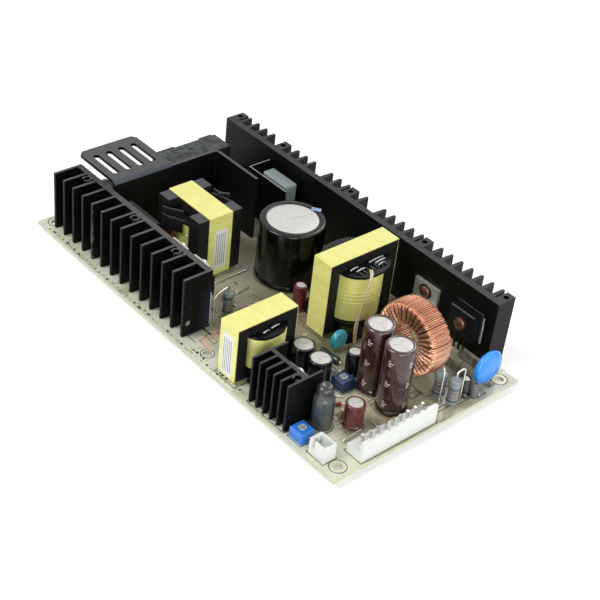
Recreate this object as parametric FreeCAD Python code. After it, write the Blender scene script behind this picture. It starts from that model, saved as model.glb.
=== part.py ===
import FreeCAD, Part
import math
import os

# Open frame power supply: one long printed board that carries three finned heatsinks, a folded
# bracket, three wound cores, a toroid, capacitors, resistors, two trimmers and its connectors.
# Lengths are millimetres. While it is built, x runs along the board from the input end, y across
# it from the near side, and z up from the board's underside. Each node is moved at the end so
# that the origin lies midway between the four corner holes, on the underside.

V = FreeCAD.Vector
UP = V(0, 0, 1)
ALONG = V(1, 0, 0)
ACROSS = V(0, 1, 0)

# A place whose x or y is negative is measured from the output end or from the far side.

# Board
board_length = 203.2
board_width = 101.6
board_thick = 1.6
hole_from_end = 5.08
hole_from_side = 6.35
mount_hole_dia = 4.0
middle_hole_from_output = 84.6
tail_drop = 2.6
tail_wide = 1.4
lead_dia = 0.8
lead_sides = 6

# Near heatsink, an extrusion that stands on the near side
near_start = 8.0
near_height = 28.5
near_tip_from_side = 3.9
near_fin_count = 14
near_end_from_output = 98.74
near_fin_thick = 1.3
near_fin_length = 11.5
near_base_thick = 2.7
channel_bore = 2.7
channel_wall = 0.9
channel_mouth = 1.2
channel_gaps = (1, 6, 10)
channel_sides = 10

# Far heatsink, whose base stands on the far edge with its fins outside the board
far_start = 10.4
far_height = 30.0
far_base_thick = 3.2
far_fin_places = 31
far_end_from_output = 15.2
far_fin_length = 6.8
far_fin_tip = 1.2
far_fin_root = 2.2
far_bare_places = (5, 10, 16)
far_boss_first = 6
far_boss_step = 8
far_boss_width = 4.4
far_boss_hole = 2.6

# Small heatsink beside the output
small_from_output = 52.6
small_height = 22.3
small_fin_count = 6
small_fin_pitch = 4.14
small_fin_thick = 1.0
small_fin_length = 8.4
small_base_thick = 1.8
small_tip_from_side = 1.8
small_cheek_length = 7.0

# Folded bracket round the choke
sheet_thick = 1.5
bend_inside = 1.3
wall_from_input = 34.5
wall_height = 31.5
roof_height = 33.0
roof_length = 29.0
roof_width = 30.0
roof_corner = 2.0
return_from_bulk = 15.9
return_from_far_sink = 23.4
slot_count = 4
slot_width = 3.0
slot_length = 17.5
slot_pitch = 6.6
slot_from_bend = 3.0

# Wound cores: length, depth and height, round middle post, yokes and outer legs, and the reach
# of the winding out of the core on both sides
tape_thick = 0.35
core_stand = 1.0
bobbin_wall = 0.9
flange_thick = 1.1
flange_proud = 0.8
winding_slack = 0.3
rail_gap = 0.4
rail_lift = 0.5
post_sides = 16
coil_sides = 32
corner_steps = 4
flange_round_share = 0.8
coil_round_share = 0.55
choke_at = (63.2, 42.9)
choke_length = 29.4
choke_depth = 23.2
choke_height = 30.2
choke_post = 11.0
choke_yoke = 4.6
choke_window = 26.0
choke_notch = 14.8
choke_tape = 12.4
main_at = (-70.9, -30.8)
main_length = 38.0
main_depth = 10.6
main_height = 35.6
main_post = 10.6
main_yoke = 4.6
main_leg = 4.9
main_reach = 26.0
main_lead_dia = 0.8
main_lead_pitch = 1.0
main_lead_inset = 4.6
main_lead_reach = 6.9
main_lead_side = 3.4
main_lead_over = 1.2
main_lead_bend = 0.6
main_lead_sway = 4.4
main_lead_foot = 5.0
standby_at = (-68.2, 18.0)
standby_length = 30.4
standby_depth = 11.0
standby_height = 26.0
standby_post = 8.4
standby_yoke = 4.2
standby_leg = 4.6
standby_reach = 19.0

# Toroid standing on edge
toroid_at = (-31.7, 69.2)
toroid_core_out = 29.0
toroid_core_in = 16.0
toroid_core_wide = 7.8
toroid_wire = 1.3
toroid_over_share = 1.5
toroid_under_share = 0.75
toroid_turns = 24
toroid_turn_wide = 2.7
toroid_corner = 2.2
toroid_stand = 0.1

# Capacitors: diameter, height and place
sleeve_thick = 0.3
sleeve_lip = 2.0
sleeve_shoulder = 0.9
groove_height = 2.2
groove_half = 0.7
groove_deep = 0.55
bulk_at = (-109.6, -32.0)
bulk_dia = 29.4
bulk_height = 29.2
bulk_sides = 32
output_cap_1_at = (-31.8, 48.0)
output_cap_2_at = (-18.0, 45.8)
output_dia = 12.9
output_height = 32.0
output_sides = 18
wide_cap_1_at = (-57.2, 32.9)
wide_cap_2_at = (-46.7, 32.8)
small_cap_at = (-42.3, 47.4)
wide_cap_dia = 10.2
wide_cap_height = 11.8
small_cap_dia = 7.0
can_leg_share = 0.4
small_cap_height = 11.5
small_sides = 12
maroon_at = (-19.2, 26.6)
maroon_dia = 8.4
maroon_height = 11.4
second_maroon_at = (-87.6, -44.2)
second_maroon_dia = 6.0
second_maroon_height = 12.4
side_cap_at = (-7.0, -25.7)
side_cap_dia = 5.0
side_cap_height = 8.5
rod_choke_at = (-25.9, 16.2)
rod_choke_dia = 9.2
rod_choke_height = 20.5
rod_choke_shoulder = 14.8
rod_choke_neck = 7.8
rod_choke_slope = 1.2
film_at = (50.0, -12.6)
film_length = 17.0
film_wide = 6.5
film_high = 24.0
film_round = 1.3
line_cap_at = (20.0, -51.0)
line_cap_length = 12.0
line_cap_wide = 33.0
line_cap_high = 30.0
line_cap_rib = 3.0
line_cap_rib_drop = 1.5
near_rib_length = 11.5
far_rib_length = 7.2

# Dipped discs: lift is from the board to the rim, and spread is between the legs
blue_disc_at = (-6.7, -13.6)
blue_disc_dia = 15.5
blue_disc_thick = 4.2
blue_disc_lift = 1.2
blue_disc_spread = 9.3
teal_disc_at = (-57.0, -49.0)
teal_disc_dia = 8.7
teal_disc_thick = 3.4
teal_disc_lift = 1.3
teal_disc_spread = 5.0
thermistor_at = (21.6, 23.6)
thermistor_dia = 15.4
thermistor_thick = 4.6
thermistor_lift = 9.8
thermistor_spread = 9.0
disc_sides = 18

# Standing resistors: a lead is where the looped end comes down
resistor_1_at = (-11.8, -35.7)
resistor_1_lead = (-8.4, -38.6)
resistor_1_dia = 5.4
resistor_1_high = 12.0
resistor_2_at = (-5.1, -34.7)
resistor_2_lead = (-5.1, -30.0)
resistor_2_dia = 5.1
resistor_2_high = 12.6
resistor_3_at = (-100.2, 28.5)
resistor_3_lead = (-97.8, 19.2)
resistor_3_dia = 4.6
resistor_3_high = 11.0
resistor_stand = 1.2
resistor_shoulder = 0.9
resistor_sides = 12
loop_height = 2.6
loop_corner = 1.0

# Trimmers
voltage_trimmer_at = (-25.1, 5.6)
limit_trimmer_at = (-38.3, 38.6)
trimmer_long = 7.0
trimmer_wide = 6.6
trimmer_high = 4.9
trimmer_edge = 0.35
rotor_dia = 3.4
rotor_proud = 0.4
rotor_deep = 1.6
rotor_gap = 0.05
rotor_sides = 16
driver_slot = 0.6
driver_deep = 0.9

# Connectors
output_ways = 9
output_pitch = 3.96
output_margin = 3.9
output_pin = 1.14
header_from_output = 1.6
header_middle_share = 0.342
header_wide = 8.4
header_floor = 3.4
header_wall_high = 8.8
header_wall_thick = 1.6
header_notch = 1.8
header_notch_deep = 2.0
header_pin_inset = 0.6
pin_high = 8.4
signal_ways = 3
signal_pitch = 2.5
signal_margin = 1.7
signal_at = (-17.6, 2.6)
signal_wide = 6.0
signal_high = 7.0
signal_floor = 2.4
signal_wall = 0.8
signal_key = 1.2
signal_pin = 0.64
input_ways = 3
input_at = (2.0, 38.0)

# Power devices on the heatsinks
pad_thick = 0.3
pad_margin = 0.3
tab_thick = 1.3
device_hole = 3.4
device_edge = 0.5
screw_dia = 3.0
screw_hole = 3.1
screw_head_dia = 5.6
screw_head_high = 2.0
screw_sides = 8
leg_pitch = 2.54
leg_wide = 0.8
leg_thick = 0.6
bridge_wide = 21.0
bridge_high = 17.6
bridge_thick = 3.4
bridge_foot = 11.0
bridge_screw_up = 9.0
small_device_wide = 10.2
small_device_high = 15.6
small_device_thick = 4.5
small_device_tab = 6.2
small_device_screw_up = 12.8
switch_foot = 13.6
standby_device_from_output = 43.6
standby_device_foot = 6.6
near_gap_shares = (0.28, 0.434, 0.155)
transistor_from_output = 59.3
transistor_wide = 13.6
transistor_high = 15.2
transistor_tab = 9.2
transistor_foot = 5.0
transistor_screw_up = 11.2
rectifier_from_output = 35.4
rectifier_wide = 13.6
rectifier_high = 13.2
rectifier_foot = 9.4
rectifier_screw_up = 6.8
far_device_thick = 4.8

# Insulating sheet round the film capacitor, fuse, bus bars and wire links
insulation_thick = 0.5
insulation_height = 24.0
insulation_at = (43.5, -15.4)
insulation_reach = 26.0
fuse_at = (14.0, -9.6)
fuse_length = 20.0
fuse_glass_dia = 5.2
fuse_cap_dia = 5.8
fuse_cap_length = 5.0
fuse_lift = 4.6
clip_wide = 3.5
clip_grip = 2.2
clip_wall = 0.6
far_bar_at = (-25.2, -10.2)
far_bar_length = 11.5
far_bar_high = 4.2
near_bar_from_output = 24.4
near_bar_share = 0.511
near_bar_length = 11.8
near_bar_high = 4.0
bar_thick = 1.0
link_height = 1.0
header_link = ((-13.8, 16.5), (-14.4, 27.0))
middle_link = ((-93.2, 40.0), (-81.2, 40.0))
small_link = ((-49.2, 22.0), (-49.2, 27.0))

deck = board_thick
near_end = board_length - near_end_from_output
near_fin_pitch = (near_end - near_start - near_fin_thick) / (near_fin_count - 1)
far_fin_pitch = (board_length - far_end_from_output - far_start - far_fin_tip) / (far_fin_places - 1)
near_outer_y = near_tip_from_side + near_fin_length
near_inner_y = near_outer_y + near_base_thick
far_inner_y = board_width - far_base_thick
small_start = board_length - small_from_output
small_outer_y = small_tip_from_side + small_fin_length
small_inner_y = small_outer_y + small_base_thick
output_header_length = (output_ways - 1) * output_pitch + 2 * output_margin
header_from_side = board_width * header_middle_share - output_header_length / 2
nodes = {}


def box(x0, x1, y0, y1, z0, z1):
    return Part.makeBox(x1 - x0, y1 - y0, z1 - z0, V(x0, y0, z0))


def at(place):
    """A place on the board as x and y, whichever end and side it is measured from."""
    x, y = place
    return x + (board_length if x < 0 else 0), y + (board_width if y < 0 else 0)


def rod(x, y, z, dia, high, axis=UP):
    return Part.makeCylinder(dia / 2, high, V(x, y, z), axis)


def ring_points(radius, z, sides):
    """The corners of a regular outline about the z axis, closed."""
    step = 2 * math.pi / sides
    return [V(radius * math.cos((k + 0.5) * step), radius * math.sin((k + 0.5) * step), z)
            for k in range(sides + 1)]


def bar(x, y, z, dia, high, sides, axis=UP):
    """A round bar drawn with flats, for thin leads, shanks and the holes that take them."""
    made = Part.Face(Part.makePolygon(ring_points(dia / 2, 0, sides))).extrude(V(0, 0, high))
    made.Placement = FreeCAD.Placement(V(x, y, z), FreeCAD.Rotation(UP, axis))
    return made


def turning(x, y, steps, sides):
    """A turned shape drawn with flats; steps are (radius, height) from the foot to the top."""
    rings = [ring_points(radius, height, sides) for radius, height in steps]
    outlines = [rings[0], rings[-1]]
    for lower, upper in zip(rings, rings[1:]):
        outlines += [[lower[k], lower[k + 1], upper[k + 1], upper[k], lower[k]] for k in range(sides)]
    made = Part.Solid(Part.Shell([Part.Face(Part.makePolygon(outline)) for outline in outlines]))
    made.translate(V(x, y, 0))
    return made


def prism(points, z0, z1):
    """A straight extrusion upwards of a closed outline in plan."""
    corners = [V(x, y, z0) for x, y in points]
    return Part.Face(Part.makePolygon(corners + corners[:1])).extrude(V(0, 0, z1 - z0))


def clipped(x0, x1, y0, y1, z0, z1, corner):
    """A block whose four upright edges are cut off."""
    c = corner
    return prism([(x0 + c, y0), (x1 - c, y0), (x1, y0 + c), (x1, y1 - c),
                  (x1 - c, y1), (x0 + c, y1), (x0, y1 - c), (x0, y0 + c)], z0, z1)


def rounded_plan(half_x, half_y, corner):
    """A rectangle about the origin in plan whose corners are rounded in short steps."""
    points = []
    for side_x, side_y, start in ((1, 1, 0), (-1, 1, 90), (-1, -1, 180), (1, -1, 270)):
        for k in range(corner_steps + 1):
            angle = math.radians(start + 90 * k / corner_steps)
            points.append((side_x * (half_x - corner) + corner * math.cos(angle),
                           side_y * (half_y - corner) + corner * math.sin(angle)))
    return points


def union(first, *others):
    """Fuses solids and drops the seams between faces in one plane."""
    return first.fuse(list(others)).removeSplitter()


def less(shape, cuts):
    return shape.cut(Part.makeCompound(cuts))


def row(x, y, count, pitch, turned=False):
    """Places in a row centred on a point, along x, or along y if turned."""
    steps = [(k - (count - 1) / 2) * pitch for k in range(count)]
    return [(x, y + s) if turned else (x + s, y) for s in steps]


def corner_holes():
    return [(x, y) for x in (hole_from_end, board_length - hole_from_end)
            for y in (hole_from_side, board_width - hole_from_side)]


def make_board():
    """The plain board with its four corner holes and the fifth hole by the near edge."""
    board = box(0, board_length, 0, board_width, 0, board_thick)
    places = corner_holes() + [(board_length - middle_hole_from_output, hole_from_side)]
    return less(board, [rod(x, y, -1, mount_hole_dia, board_thick + 2) for x, y in places])


def comb(x0, x1, inner_y, outer_y, tip_y, fins):
    """The plan outline of a finned extrusion; fins are (middle, half tip, half root)."""
    points = [(x0, inner_y), (x1, inner_y)]
    for middle, tip, root in reversed(fins):
        points += [(middle + root, outer_y), (middle + tip, tip_y),
                   (middle - tip, tip_y), (middle - root, outer_y)]
    return points


def screw_channel(x, y, top):
    """A C-shaped channel along an extrusion for a self-tapping screw, and what is cut from it."""
    out = channel_bore / 2 + channel_wall
    high = top - deck
    slit = box(x - channel_mouth / 2, x + channel_mouth / 2, y - out - 1, y, deck, top)
    return (bar(x, y, deck, 2 * out, high, channel_sides),
            [bar(x, y, deck, channel_bore, high, channel_sides), slit])


def make_near_heatsink():
    top = deck + near_height
    half = near_fin_thick / 2
    middles = [near_start + half + k * near_fin_pitch for k in range(near_fin_count)]
    outline = comb(near_start, middles[-1] + half, near_inner_y, near_outer_y, near_tip_from_side,
                   [(x, half, half) for x in middles])
    channels, cuts = [], []
    for k in channel_gaps:
        channel, hollow = screw_channel(middles[k] + near_fin_pitch / 2,
                                        near_outer_y - (channel_bore + channel_wall) / 2, top)
        channels.append(channel)
        cuts += hollow
    return less(union(prism(outline, deck, top), *channels), cuts)


def make_far_heatsink():
    top = deck + far_height
    half = far_fin_tip / 2
    last = far_fin_places - 1
    fins, bosses, holes = [], [], []
    for k in range(far_fin_places):
        x = far_start + half + k * far_fin_pitch
        if k not in far_bare_places:
            fins.append((x, half, half if k in (0, last) else far_fin_root / 2))
        if k == 0 or k in range(far_boss_first, far_fin_places, far_boss_step):
            middle = x + (far_boss_width / 2 - half) * (1 if k == 0 else -1)
            bosses.append(box(middle - far_boss_width / 2, middle + far_boss_width / 2,
                              board_width - far_base_thick / 2, board_width + far_fin_length, deck, top))
            holes.append(bar(middle, board_width + far_fin_length / 2, deck, far_boss_hole, far_height,
                             channel_sides))
    outline = comb(far_start, far_start + last * far_fin_pitch + far_fin_tip, far_inner_y, board_width,
                   board_width + far_fin_length, fins)
    return less(union(prism(outline, deck, top), *bosses), holes)


def make_small_heatsink():
    top = deck + small_height
    half = small_fin_thick / 2
    middles = [small_start + half + k * small_fin_pitch for k in range(small_fin_count)]
    end = middles[-1] + half
    outline = comb(small_start, end, small_inner_y, small_outer_y, small_tip_from_side,
                   [(x, half, half) for x in middles])
    cheek_end = small_inner_y + small_cheek_length
    cheeks = [box(x, x + small_fin_thick, small_outer_y, cheek_end, deck, top)
              for x in (small_start, end - small_fin_thick)]
    channel, hollow = screw_channel((middles[-2] + middles[-1]) / 2,
                                    small_outer_y - (channel_bore + channel_wall) / 2, top)
    return less(union(prism(outline, deck, top), channel, *cheeks), hollow)


def bend(x, y, z, high, axis, start):
    """A quarter of a sheet's bend about an axis through a point, from a given angle."""
    outer = Part.makeCylinder(bend_inside + sheet_thick, high, V(0, 0, 0), UP, 90)
    inner = Part.makeCylinder(bend_inside, high, V(0, 0, 0), UP, 90)
    made = outer.cut(inner)
    made.rotate(V(0, 0, 0), UP, start)
    made.Placement = FreeCAD.Placement(V(x, y, z), FreeCAD.Rotation(UP, axis)).multiply(made.Placement)
    return made


def make_bracket():
    """One folded sheet: a slotted roof, a wall across the board and a return along it."""
    outer = bend_inside + sheet_thick
    wall_x = wall_from_input
    roof_top = deck + roof_height
    wall_top = deck + wall_height
    y0 = near_inner_y
    y1 = y0 + roof_width
    bend_x = wall_x - outer
    roof_start = wall_x - roof_length
    roof = prism([(roof_start + roof_corner, y0), (bend_x, y0), (bend_x, y1), (roof_start + roof_corner, y1),
                  (roof_start, y1 - roof_corner), (roof_start, y0 + roof_corner)],
                 roof_top - sheet_thick, roof_top)
    roof_bend = bend(bend_x, y0, roof_top - outer, roof_width, ACROSS, 270)
    near_wall = box(wall_x - sheet_thick, wall_x, y0, y1, deck, roof_top - outer)
    return_y = far_inner_y - return_from_far_sink
    corner_x = wall_x - sheet_thick + outer
    far_wall = box(wall_x - sheet_thick, wall_x, y1, return_y - outer, deck, wall_top)
    wall_bend = bend(corner_x, return_y - outer, deck, wall_height, UP, 90)
    return_end = at(bulk_at)[0] - bulk_dia / 2 - return_from_bulk
    back = box(corner_x, return_end, return_y - sheet_thick, return_y, deck, wall_top)
    bracket = union(roof, roof_bend, near_wall, far_wall, wall_bend, back)
    slot_end = bend_x - slot_from_bend
    slots = [clipped(slot_end - slot_length, slot_end, y - slot_width / 2, y + slot_width / 2,
                     roof_top - sheet_thick - 1, roof_top + 1, slot_width * 0.3)
             for x, y in row(0, (y0 + y1) / 2, slot_count, slot_pitch, True)]
    return less(bracket, slots)


def tape_band(length, height, wide):
    """A band of tape round the core: over the top, down both ends and underneath."""
    t = tape_thick
    top = core_stand + height
    outside = box(-length / 2, length / 2, -wide / 2, wide / 2, core_stand, top)
    return outside.cut(box(-length / 2 + t, length / 2 - t, -wide / 2, wide / 2, core_stand + t, top - t))


def halves(core, middle, reach):
    """The two mirrored halves of a core, which meet at mid height."""
    return Part.makeCompound([core.common(box(-reach, reach, -reach, reach, 0, middle)),
                              core.common(box(-reach, reach, -reach, reach, middle, 2 * middle))])


def wound_bobbin(post, low, high, flange, coil, rails):
    """The bobbin, a tube with a flange at each end on two pin rails, and the winding on it."""
    tube = post + 2 * (winding_slack + bobbin_wall)
    hole = bar(0, 0, low - 1, post + 2 * winding_slack, high - low + 2, post_sides)
    top = high - winding_slack
    bobbin = union(bar(0, 0, low, tube, top - low, post_sides), flange(low, low + flange_thick),
                   flange(top - flange_thick, top), *rails).cut(hole)
    z0, z1 = low + flange_thick, top - flange_thick
    return bobbin, coil(z0, z1).cut(bar(0, 0, z0 - 1, tube, z1 - z0 + 2, post_sides))


def pin_rails(half_length, inner, outer, low):
    """The two rails under a bobbin that hold its pins, one on each side of the core."""
    return [clipped(-half_length, half_length, y0, y1, 0, low + rail_lift, rail_lift)
            for y0, y1 in ((inner, outer), (-outer, -inner))]


def make_choke():
    """A core with wide plates, notched on both sides and round inside, held together by tape."""
    half_l = choke_length / 2 - tape_thick
    half_d = choke_depth / 2
    base = core_stand + tape_thick
    high = choke_height - 2 * tape_thick
    low = base + choke_yoke
    window_high = high - 2 * choke_yoke
    notch_y = choke_tape / 2 + winding_slack
    notches = [clipped(-choke_notch / 2, choke_notch / 2, y0, y1, 0, base + high + 1, rail_gap)
               for y0, y1 in ((notch_y, half_d + 1), (-half_d - 1, -notch_y))]
    plates = less(box(-half_l, half_l, -half_d, half_d, base, base + high),
                  notches + [bar(0, 0, low, choke_window, window_high, post_sides)])
    core = union(plates, bar(0, 0, low, choke_post, window_high, post_sides))
    reach = choke_window - 2 * winding_slack
    inner_y = notch_y + rail_gap
    parts = wound_bobbin(choke_post, low, low + window_high,
                         lambda z0, z1: bar(0, 0, z0, reach * 0.985, z1 - z0, post_sides),
                         lambda z0, z1: bar(0, 0, z0, reach - 2 * flange_proud, z1 - z0, coil_sides),
                         pin_rails(choke_notch / 2 - rail_gap, inner_y, half_d - rail_gap, low))
    return (halves(core, base + high / 2, choke_length),) + parts + (
        tape_band(choke_length, choke_height, choke_tape),)


def make_transformer(length, depth, height, post, yoke, leg, reach, round_winding):
    """Two E core halves with a round middle post, a bobbin, its winding and the tape round both."""
    half_l = length / 2 - tape_thick
    base = core_stand + tape_thick
    high = height - 2 * tape_thick
    low = base + yoke
    window_high = high - 2 * yoke
    block = box(-half_l, half_l, -depth / 2, depth / 2, base, base + high)
    window = box(-half_l + leg, half_l - leg, -depth / 2, depth / 2, low, low + window_high)
    core = union(block.cut(window), bar(0, 0, low, post, window_high, post_sides))
    half_w = min(half_l - leg - winding_slack, reach / 2)
    out = reach / 2 + flange_proud

    def flange(z0, z1):
        return prism(rounded_plan(half_w, out, min(half_w, out) * flange_round_share), z0, z1)

    def coil(z0, z1):
        if round_winding:
            return bar(0, 0, z0, 2 * half_w - flange_proud, z1 - z0, coil_sides)
        side = half_w - rail_gap
        return prism(rounded_plan(side, reach / 2, side * coil_round_share), z0, z1)

    parts = wound_bobbin(post, low, low + window_high, flange, coil,
                         pin_rails(half_w, depth / 2 + rail_gap, out, low))
    return (halves(core, base + high / 2, length),) + parts + (tape_band(length, height, depth - rail_gap),)


def make_main_leads():
    """Two insulated wires that leave the top of the main winding and run down, side by side."""
    wires = []
    x, middle_y = at(main_at)
    start = x + main_reach / 2 - main_lead_inset
    drop = start + main_lead_reach
    z = deck + main_height - main_yoke + main_lead_over
    for k in range(2):
        y = middle_y - main_lead_side - k * main_lead_pitch
        foot_y = y - main_lead_sway
        wires.append(wire([(start, y, z), (drop - main_lead_bend, y, z), (drop, y - main_lead_bend, z - main_lead_bend),
                           (drop, foot_y, deck + main_lead_foot), (drop, foot_y, deck)], main_lead_dia))
    return Part.makeCompound(wires)


def wire(points, dia):
    """A wire drawn with flats along straight runs, mitred where they meet."""
    corners = [V(*p) for p in points]
    first = corners[1] - corners[0]
    outline = Part.makePolygon(ring_points(dia / 2, 0, lead_sides))
    outline.Placement = FreeCAD.Placement(corners[0], FreeCAD.Rotation(UP, first))
    return Part.Wire(Part.makePolygon(corners)).makePipeShell([outline], True, False, 1)


def make_toroid():
    """The ring core, and the wire turned round it: a hoop for each turn over a closed under layer."""
    r_in, r_out = toroid_core_in / 2, toroid_core_out / 2
    half = toroid_core_wide / 2
    over = toroid_wire * toroid_over_share
    under = toroid_wire * toroid_under_share

    def ring(inside, outside, wide):
        outer = bar(0, -wide / 2, 0, 2 * outside, wide, toroid_turns, ACROSS)
        return outer.cut(bar(0, -wide / 2, 0, 2 * inside, wide, toroid_turns, ACROSS))

    core = ring(r_in, r_out, toroid_core_wide)
    layer = ring(r_in - over, r_out + under, toroid_core_wide + 2 * under)
    turn = clipped(r_in - over + winding_slack, r_out + over, -half - over, half + over,
                   -toroid_turn_wide / 2, toroid_turn_wide / 2, toroid_corner)
    turns = []
    for k in range(toroid_turns):
        hoop = turn.copy()
        hoop.rotate(V(0, 0, 0), ACROSS, (k + 0.5) * 360 / toroid_turns)
        turns.append(hoop)
    winding = layer.fuse(turns).removeSplitter().cut(core)
    x, y = at(toroid_at)
    for shape in (core, winding):
        shape.translate(V(x, y, deck + r_out + over + toroid_stand))
    return core, winding


def make_can(place, dia, high, sides):
    """A sleeved electrolytic: the plain aluminium can, and the sleeve shrunk over it, which is
    drawn in at the groove near the foot and turned over the top's edge."""
    x, y = at(place)
    r = dia / 2
    top = deck + high
    steps = [(r, deck), (r, deck + groove_height), (r - groove_deep, deck + groove_height + groove_half),
             (r, deck + groove_height + 2 * groove_half), (r, top - sleeve_shoulder),
             (r - sleeve_shoulder, top)]
    inner = r - groove_deep - sleeve_thick
    lid = r - sleeve_lip
    can = bar(x, y, deck, 2 * inner, high - sleeve_thick, sides)
    mouth = bar(x, y, deck, 2 * lid, high + 1, sides)
    return can, less(turning(x, y, steps, sides), [can, mouth])


def make_small_can(place, dia, high):
    """A small electrolytic as one sealed piece, drawn in at the groove near its foot."""
    r = dia / 2
    groove = groove_height / 2
    top = deck + high
    x, y = at(place)
    return turning(x, y, [(r, deck), (r, deck + groove), (r - groove_deep, deck + groove + groove_half / 2),
                          (r, deck + groove + groove_half), (r, top - groove_deep), (r - groove_deep, top)],
                   small_sides)


def make_rod_choke():
    """A rod choke in shrink tube: a narrower neck with a rounded end above the shoulder."""
    r = rod_choke_dia / 2
    neck = rod_choke_neck / 2
    top = deck + rod_choke_height
    shoulder = deck + rod_choke_shoulder
    x, y = at(rod_choke_at)
    return turning(x, y, [(r, deck), (r, shoulder), (neck, shoulder + rod_choke_slope), (neck, top - rod_choke_slope),
                          (neck * 0.8, top - rod_choke_slope / 4), (neck * 0.4, top)], small_sides)


def make_disc(place, dia, thick, lift, spread, turned=False):
    """A dipped disc on two legs; its face looks along x, or along y if turned."""
    r = dia / 2
    steps = [(r * 0.6, -thick / 2), (r * 0.93, -thick * 0.3), (r, 0), (r * 0.93, thick * 0.3), (r * 0.6, thick / 2)]
    disc = turning(0, 0, steps, disc_sides)
    disc.rotate(V(0, 0, 0), ACROSS, 90)
    drop = math.sqrt(r * r - spread * spread / 4) * 0.85
    legs = [bar(0, y, -r - lift, lead_dia, lift + r - drop + 1, lead_sides) for x, y in row(0, 0, 2, spread, True)]
    whole = union(disc, *legs)
    if turned:
        whole.rotate(V(0, 0, 0), UP, 90)
    x, y = at(place)
    whole.translate(V(x, y, deck + r + lift))
    return whole


def make_resistor(place, lead, dia, high):
    """A resistor standing on end: its body, its foot, and the lead looped over and down beside it."""
    x, y = at(place)
    lead_to = at(lead)
    r = dia / 2
    foot = deck + resistor_stand
    top = foot + high
    body = turning(x, y, [(r * 0.7, foot), (r, foot + resistor_shoulder), (r, top - resistor_shoulder),
                          (r * 0.7, top)], resistor_sides)
    across = V(lead_to[0] - x, lead_to[1] - y, 0).normalize() * loop_corner
    high_z = top + loop_height
    lead = wire([(x, y, top - 0.5), (x, y, high_z - loop_corner), (x + across.x, y + across.y, high_z),
                 (lead_to[0] - across.x, lead_to[1] - across.y, high_z),
                 (lead_to[0], lead_to[1], high_z - loop_corner), (lead_to[0], lead_to[1], deck)], lead_dia)
    return union(body, lead, bar(x, y, deck, lead_dia, resistor_stand + 0.5, lead_sides))


def make_trimmer(place):
    """A square trimmer: its case with a round well, and the slotted rotor that turns in it."""
    x, y = at(place)
    top = deck + trimmer_high
    case = box(x - trimmer_long / 2, x + trimmer_long / 2, y - trimmer_wide / 2, y + trimmer_wide / 2, deck, top)
    case = case.makeChamfer(trimmer_edge, [e for e in case.Edges if e.BoundBox.ZMin > top - 0.01])
    well_dia = (rotor_dia + 2 * rotor_gap) / math.cos(math.pi / rotor_sides)
    well = bar(x, y, top - rotor_deep, well_dia, rotor_deep + 1, rotor_sides)
    rotor = bar(x, y, top - rotor_deep, rotor_dia, rotor_deep + rotor_proud, rotor_sides)
    face = top + rotor_proud
    half = driver_slot / 2
    slots = [box(x - rotor_dia, x + rotor_dia, y - half, y + half, face - driver_deep, face + 1),
             box(x - half, x + half, y - rotor_dia, y + rotor_dia, face - driver_deep, face + 1)]
    return case.cut(well), less(rotor, slots)


def output_start():
    return board_length - header_from_output - header_wide


def output_pins():
    x = output_start() + header_wide / 2 - header_pin_inset
    return [(x, header_from_side + output_margin + k * output_pitch) for k in range(output_ways)]


def input_pins():
    x, y = input_at
    return [(x + header_wide / 2 + header_pin_inset, y + output_margin + 2 * k * output_pitch)
            for k in range(input_ways)]


def signal_pins():
    x, y = at(signal_at)
    return [(x + signal_margin + k * signal_pitch, y + signal_wide * 0.45) for k in range(signal_ways)]


def post(x, y, side, z0, z1):
    return box(x - side / 2, x + side / 2, y - side / 2, y + side / 2, z0, z1)


def make_row_header(x0, y0, length, wall_x, pins):
    """A row header: a floor with the pins through it and a wall along one side."""
    floor = box(x0, x0 + header_wide, y0, y0 + length, deck, deck + header_floor)
    wall = box(wall_x, wall_x + header_wall_thick, y0, y0 + length, deck, deck + header_wall_high)
    return less(union(floor, wall), [post(x, y, output_pin, deck - 1, deck + header_floor + 1) for x, y in pins])


def make_output_header():
    """The output header, whose wall is notched between the ways on its inner side."""
    x0 = output_start()
    wall_x = x0 + header_wide - header_wall_thick
    housing = make_row_header(x0, header_from_side, output_header_length, wall_x, output_pins())
    top = deck + header_wall_high
    middle = header_from_side + output_header_length / 2
    return less(housing, [box(wall_x - 1, wall_x + header_wall_thick / 2, y - header_notch / 2, y + header_notch / 2,
                              top - header_notch_deep, top + 1)
                          for x, y in row(0, middle, output_ways - 1, output_pitch, True)])


def make_signal_header():
    """A small shrouded header with a slot in its outer wall."""
    x0, y0 = at(signal_at)
    x1 = x0 + (signal_ways - 1) * signal_pitch + 2 * signal_margin
    y1 = y0 + signal_wide
    top = deck + signal_high
    w = signal_wall
    shell = box(x0, x1, y0, y1, deck, top)
    cuts = [post(x, y, signal_pin, deck - 1, top) for x, y in signal_pins()]
    cuts.append(box(x0 + w, x1 - w, y0 + w, y1 - w, deck + signal_floor, top + 1))
    cuts.append(box(x0 + 2 * w, x0 + 2 * w + signal_key, y0 - 1, y0 + 2 * w, deck + signal_floor + w, top + 1))
    return less(shell, cuts)


def make_pins():
    """All the header pins; their soldered ends are among the tails."""
    pins = [post(x, y, output_pin, deck, deck + pin_high) for x, y in output_pins() + input_pins()]
    return Part.makeCompound(pins + [post(x, y, signal_pin, deck, deck + signal_high - 1) for x, y in signal_pins()])


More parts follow.
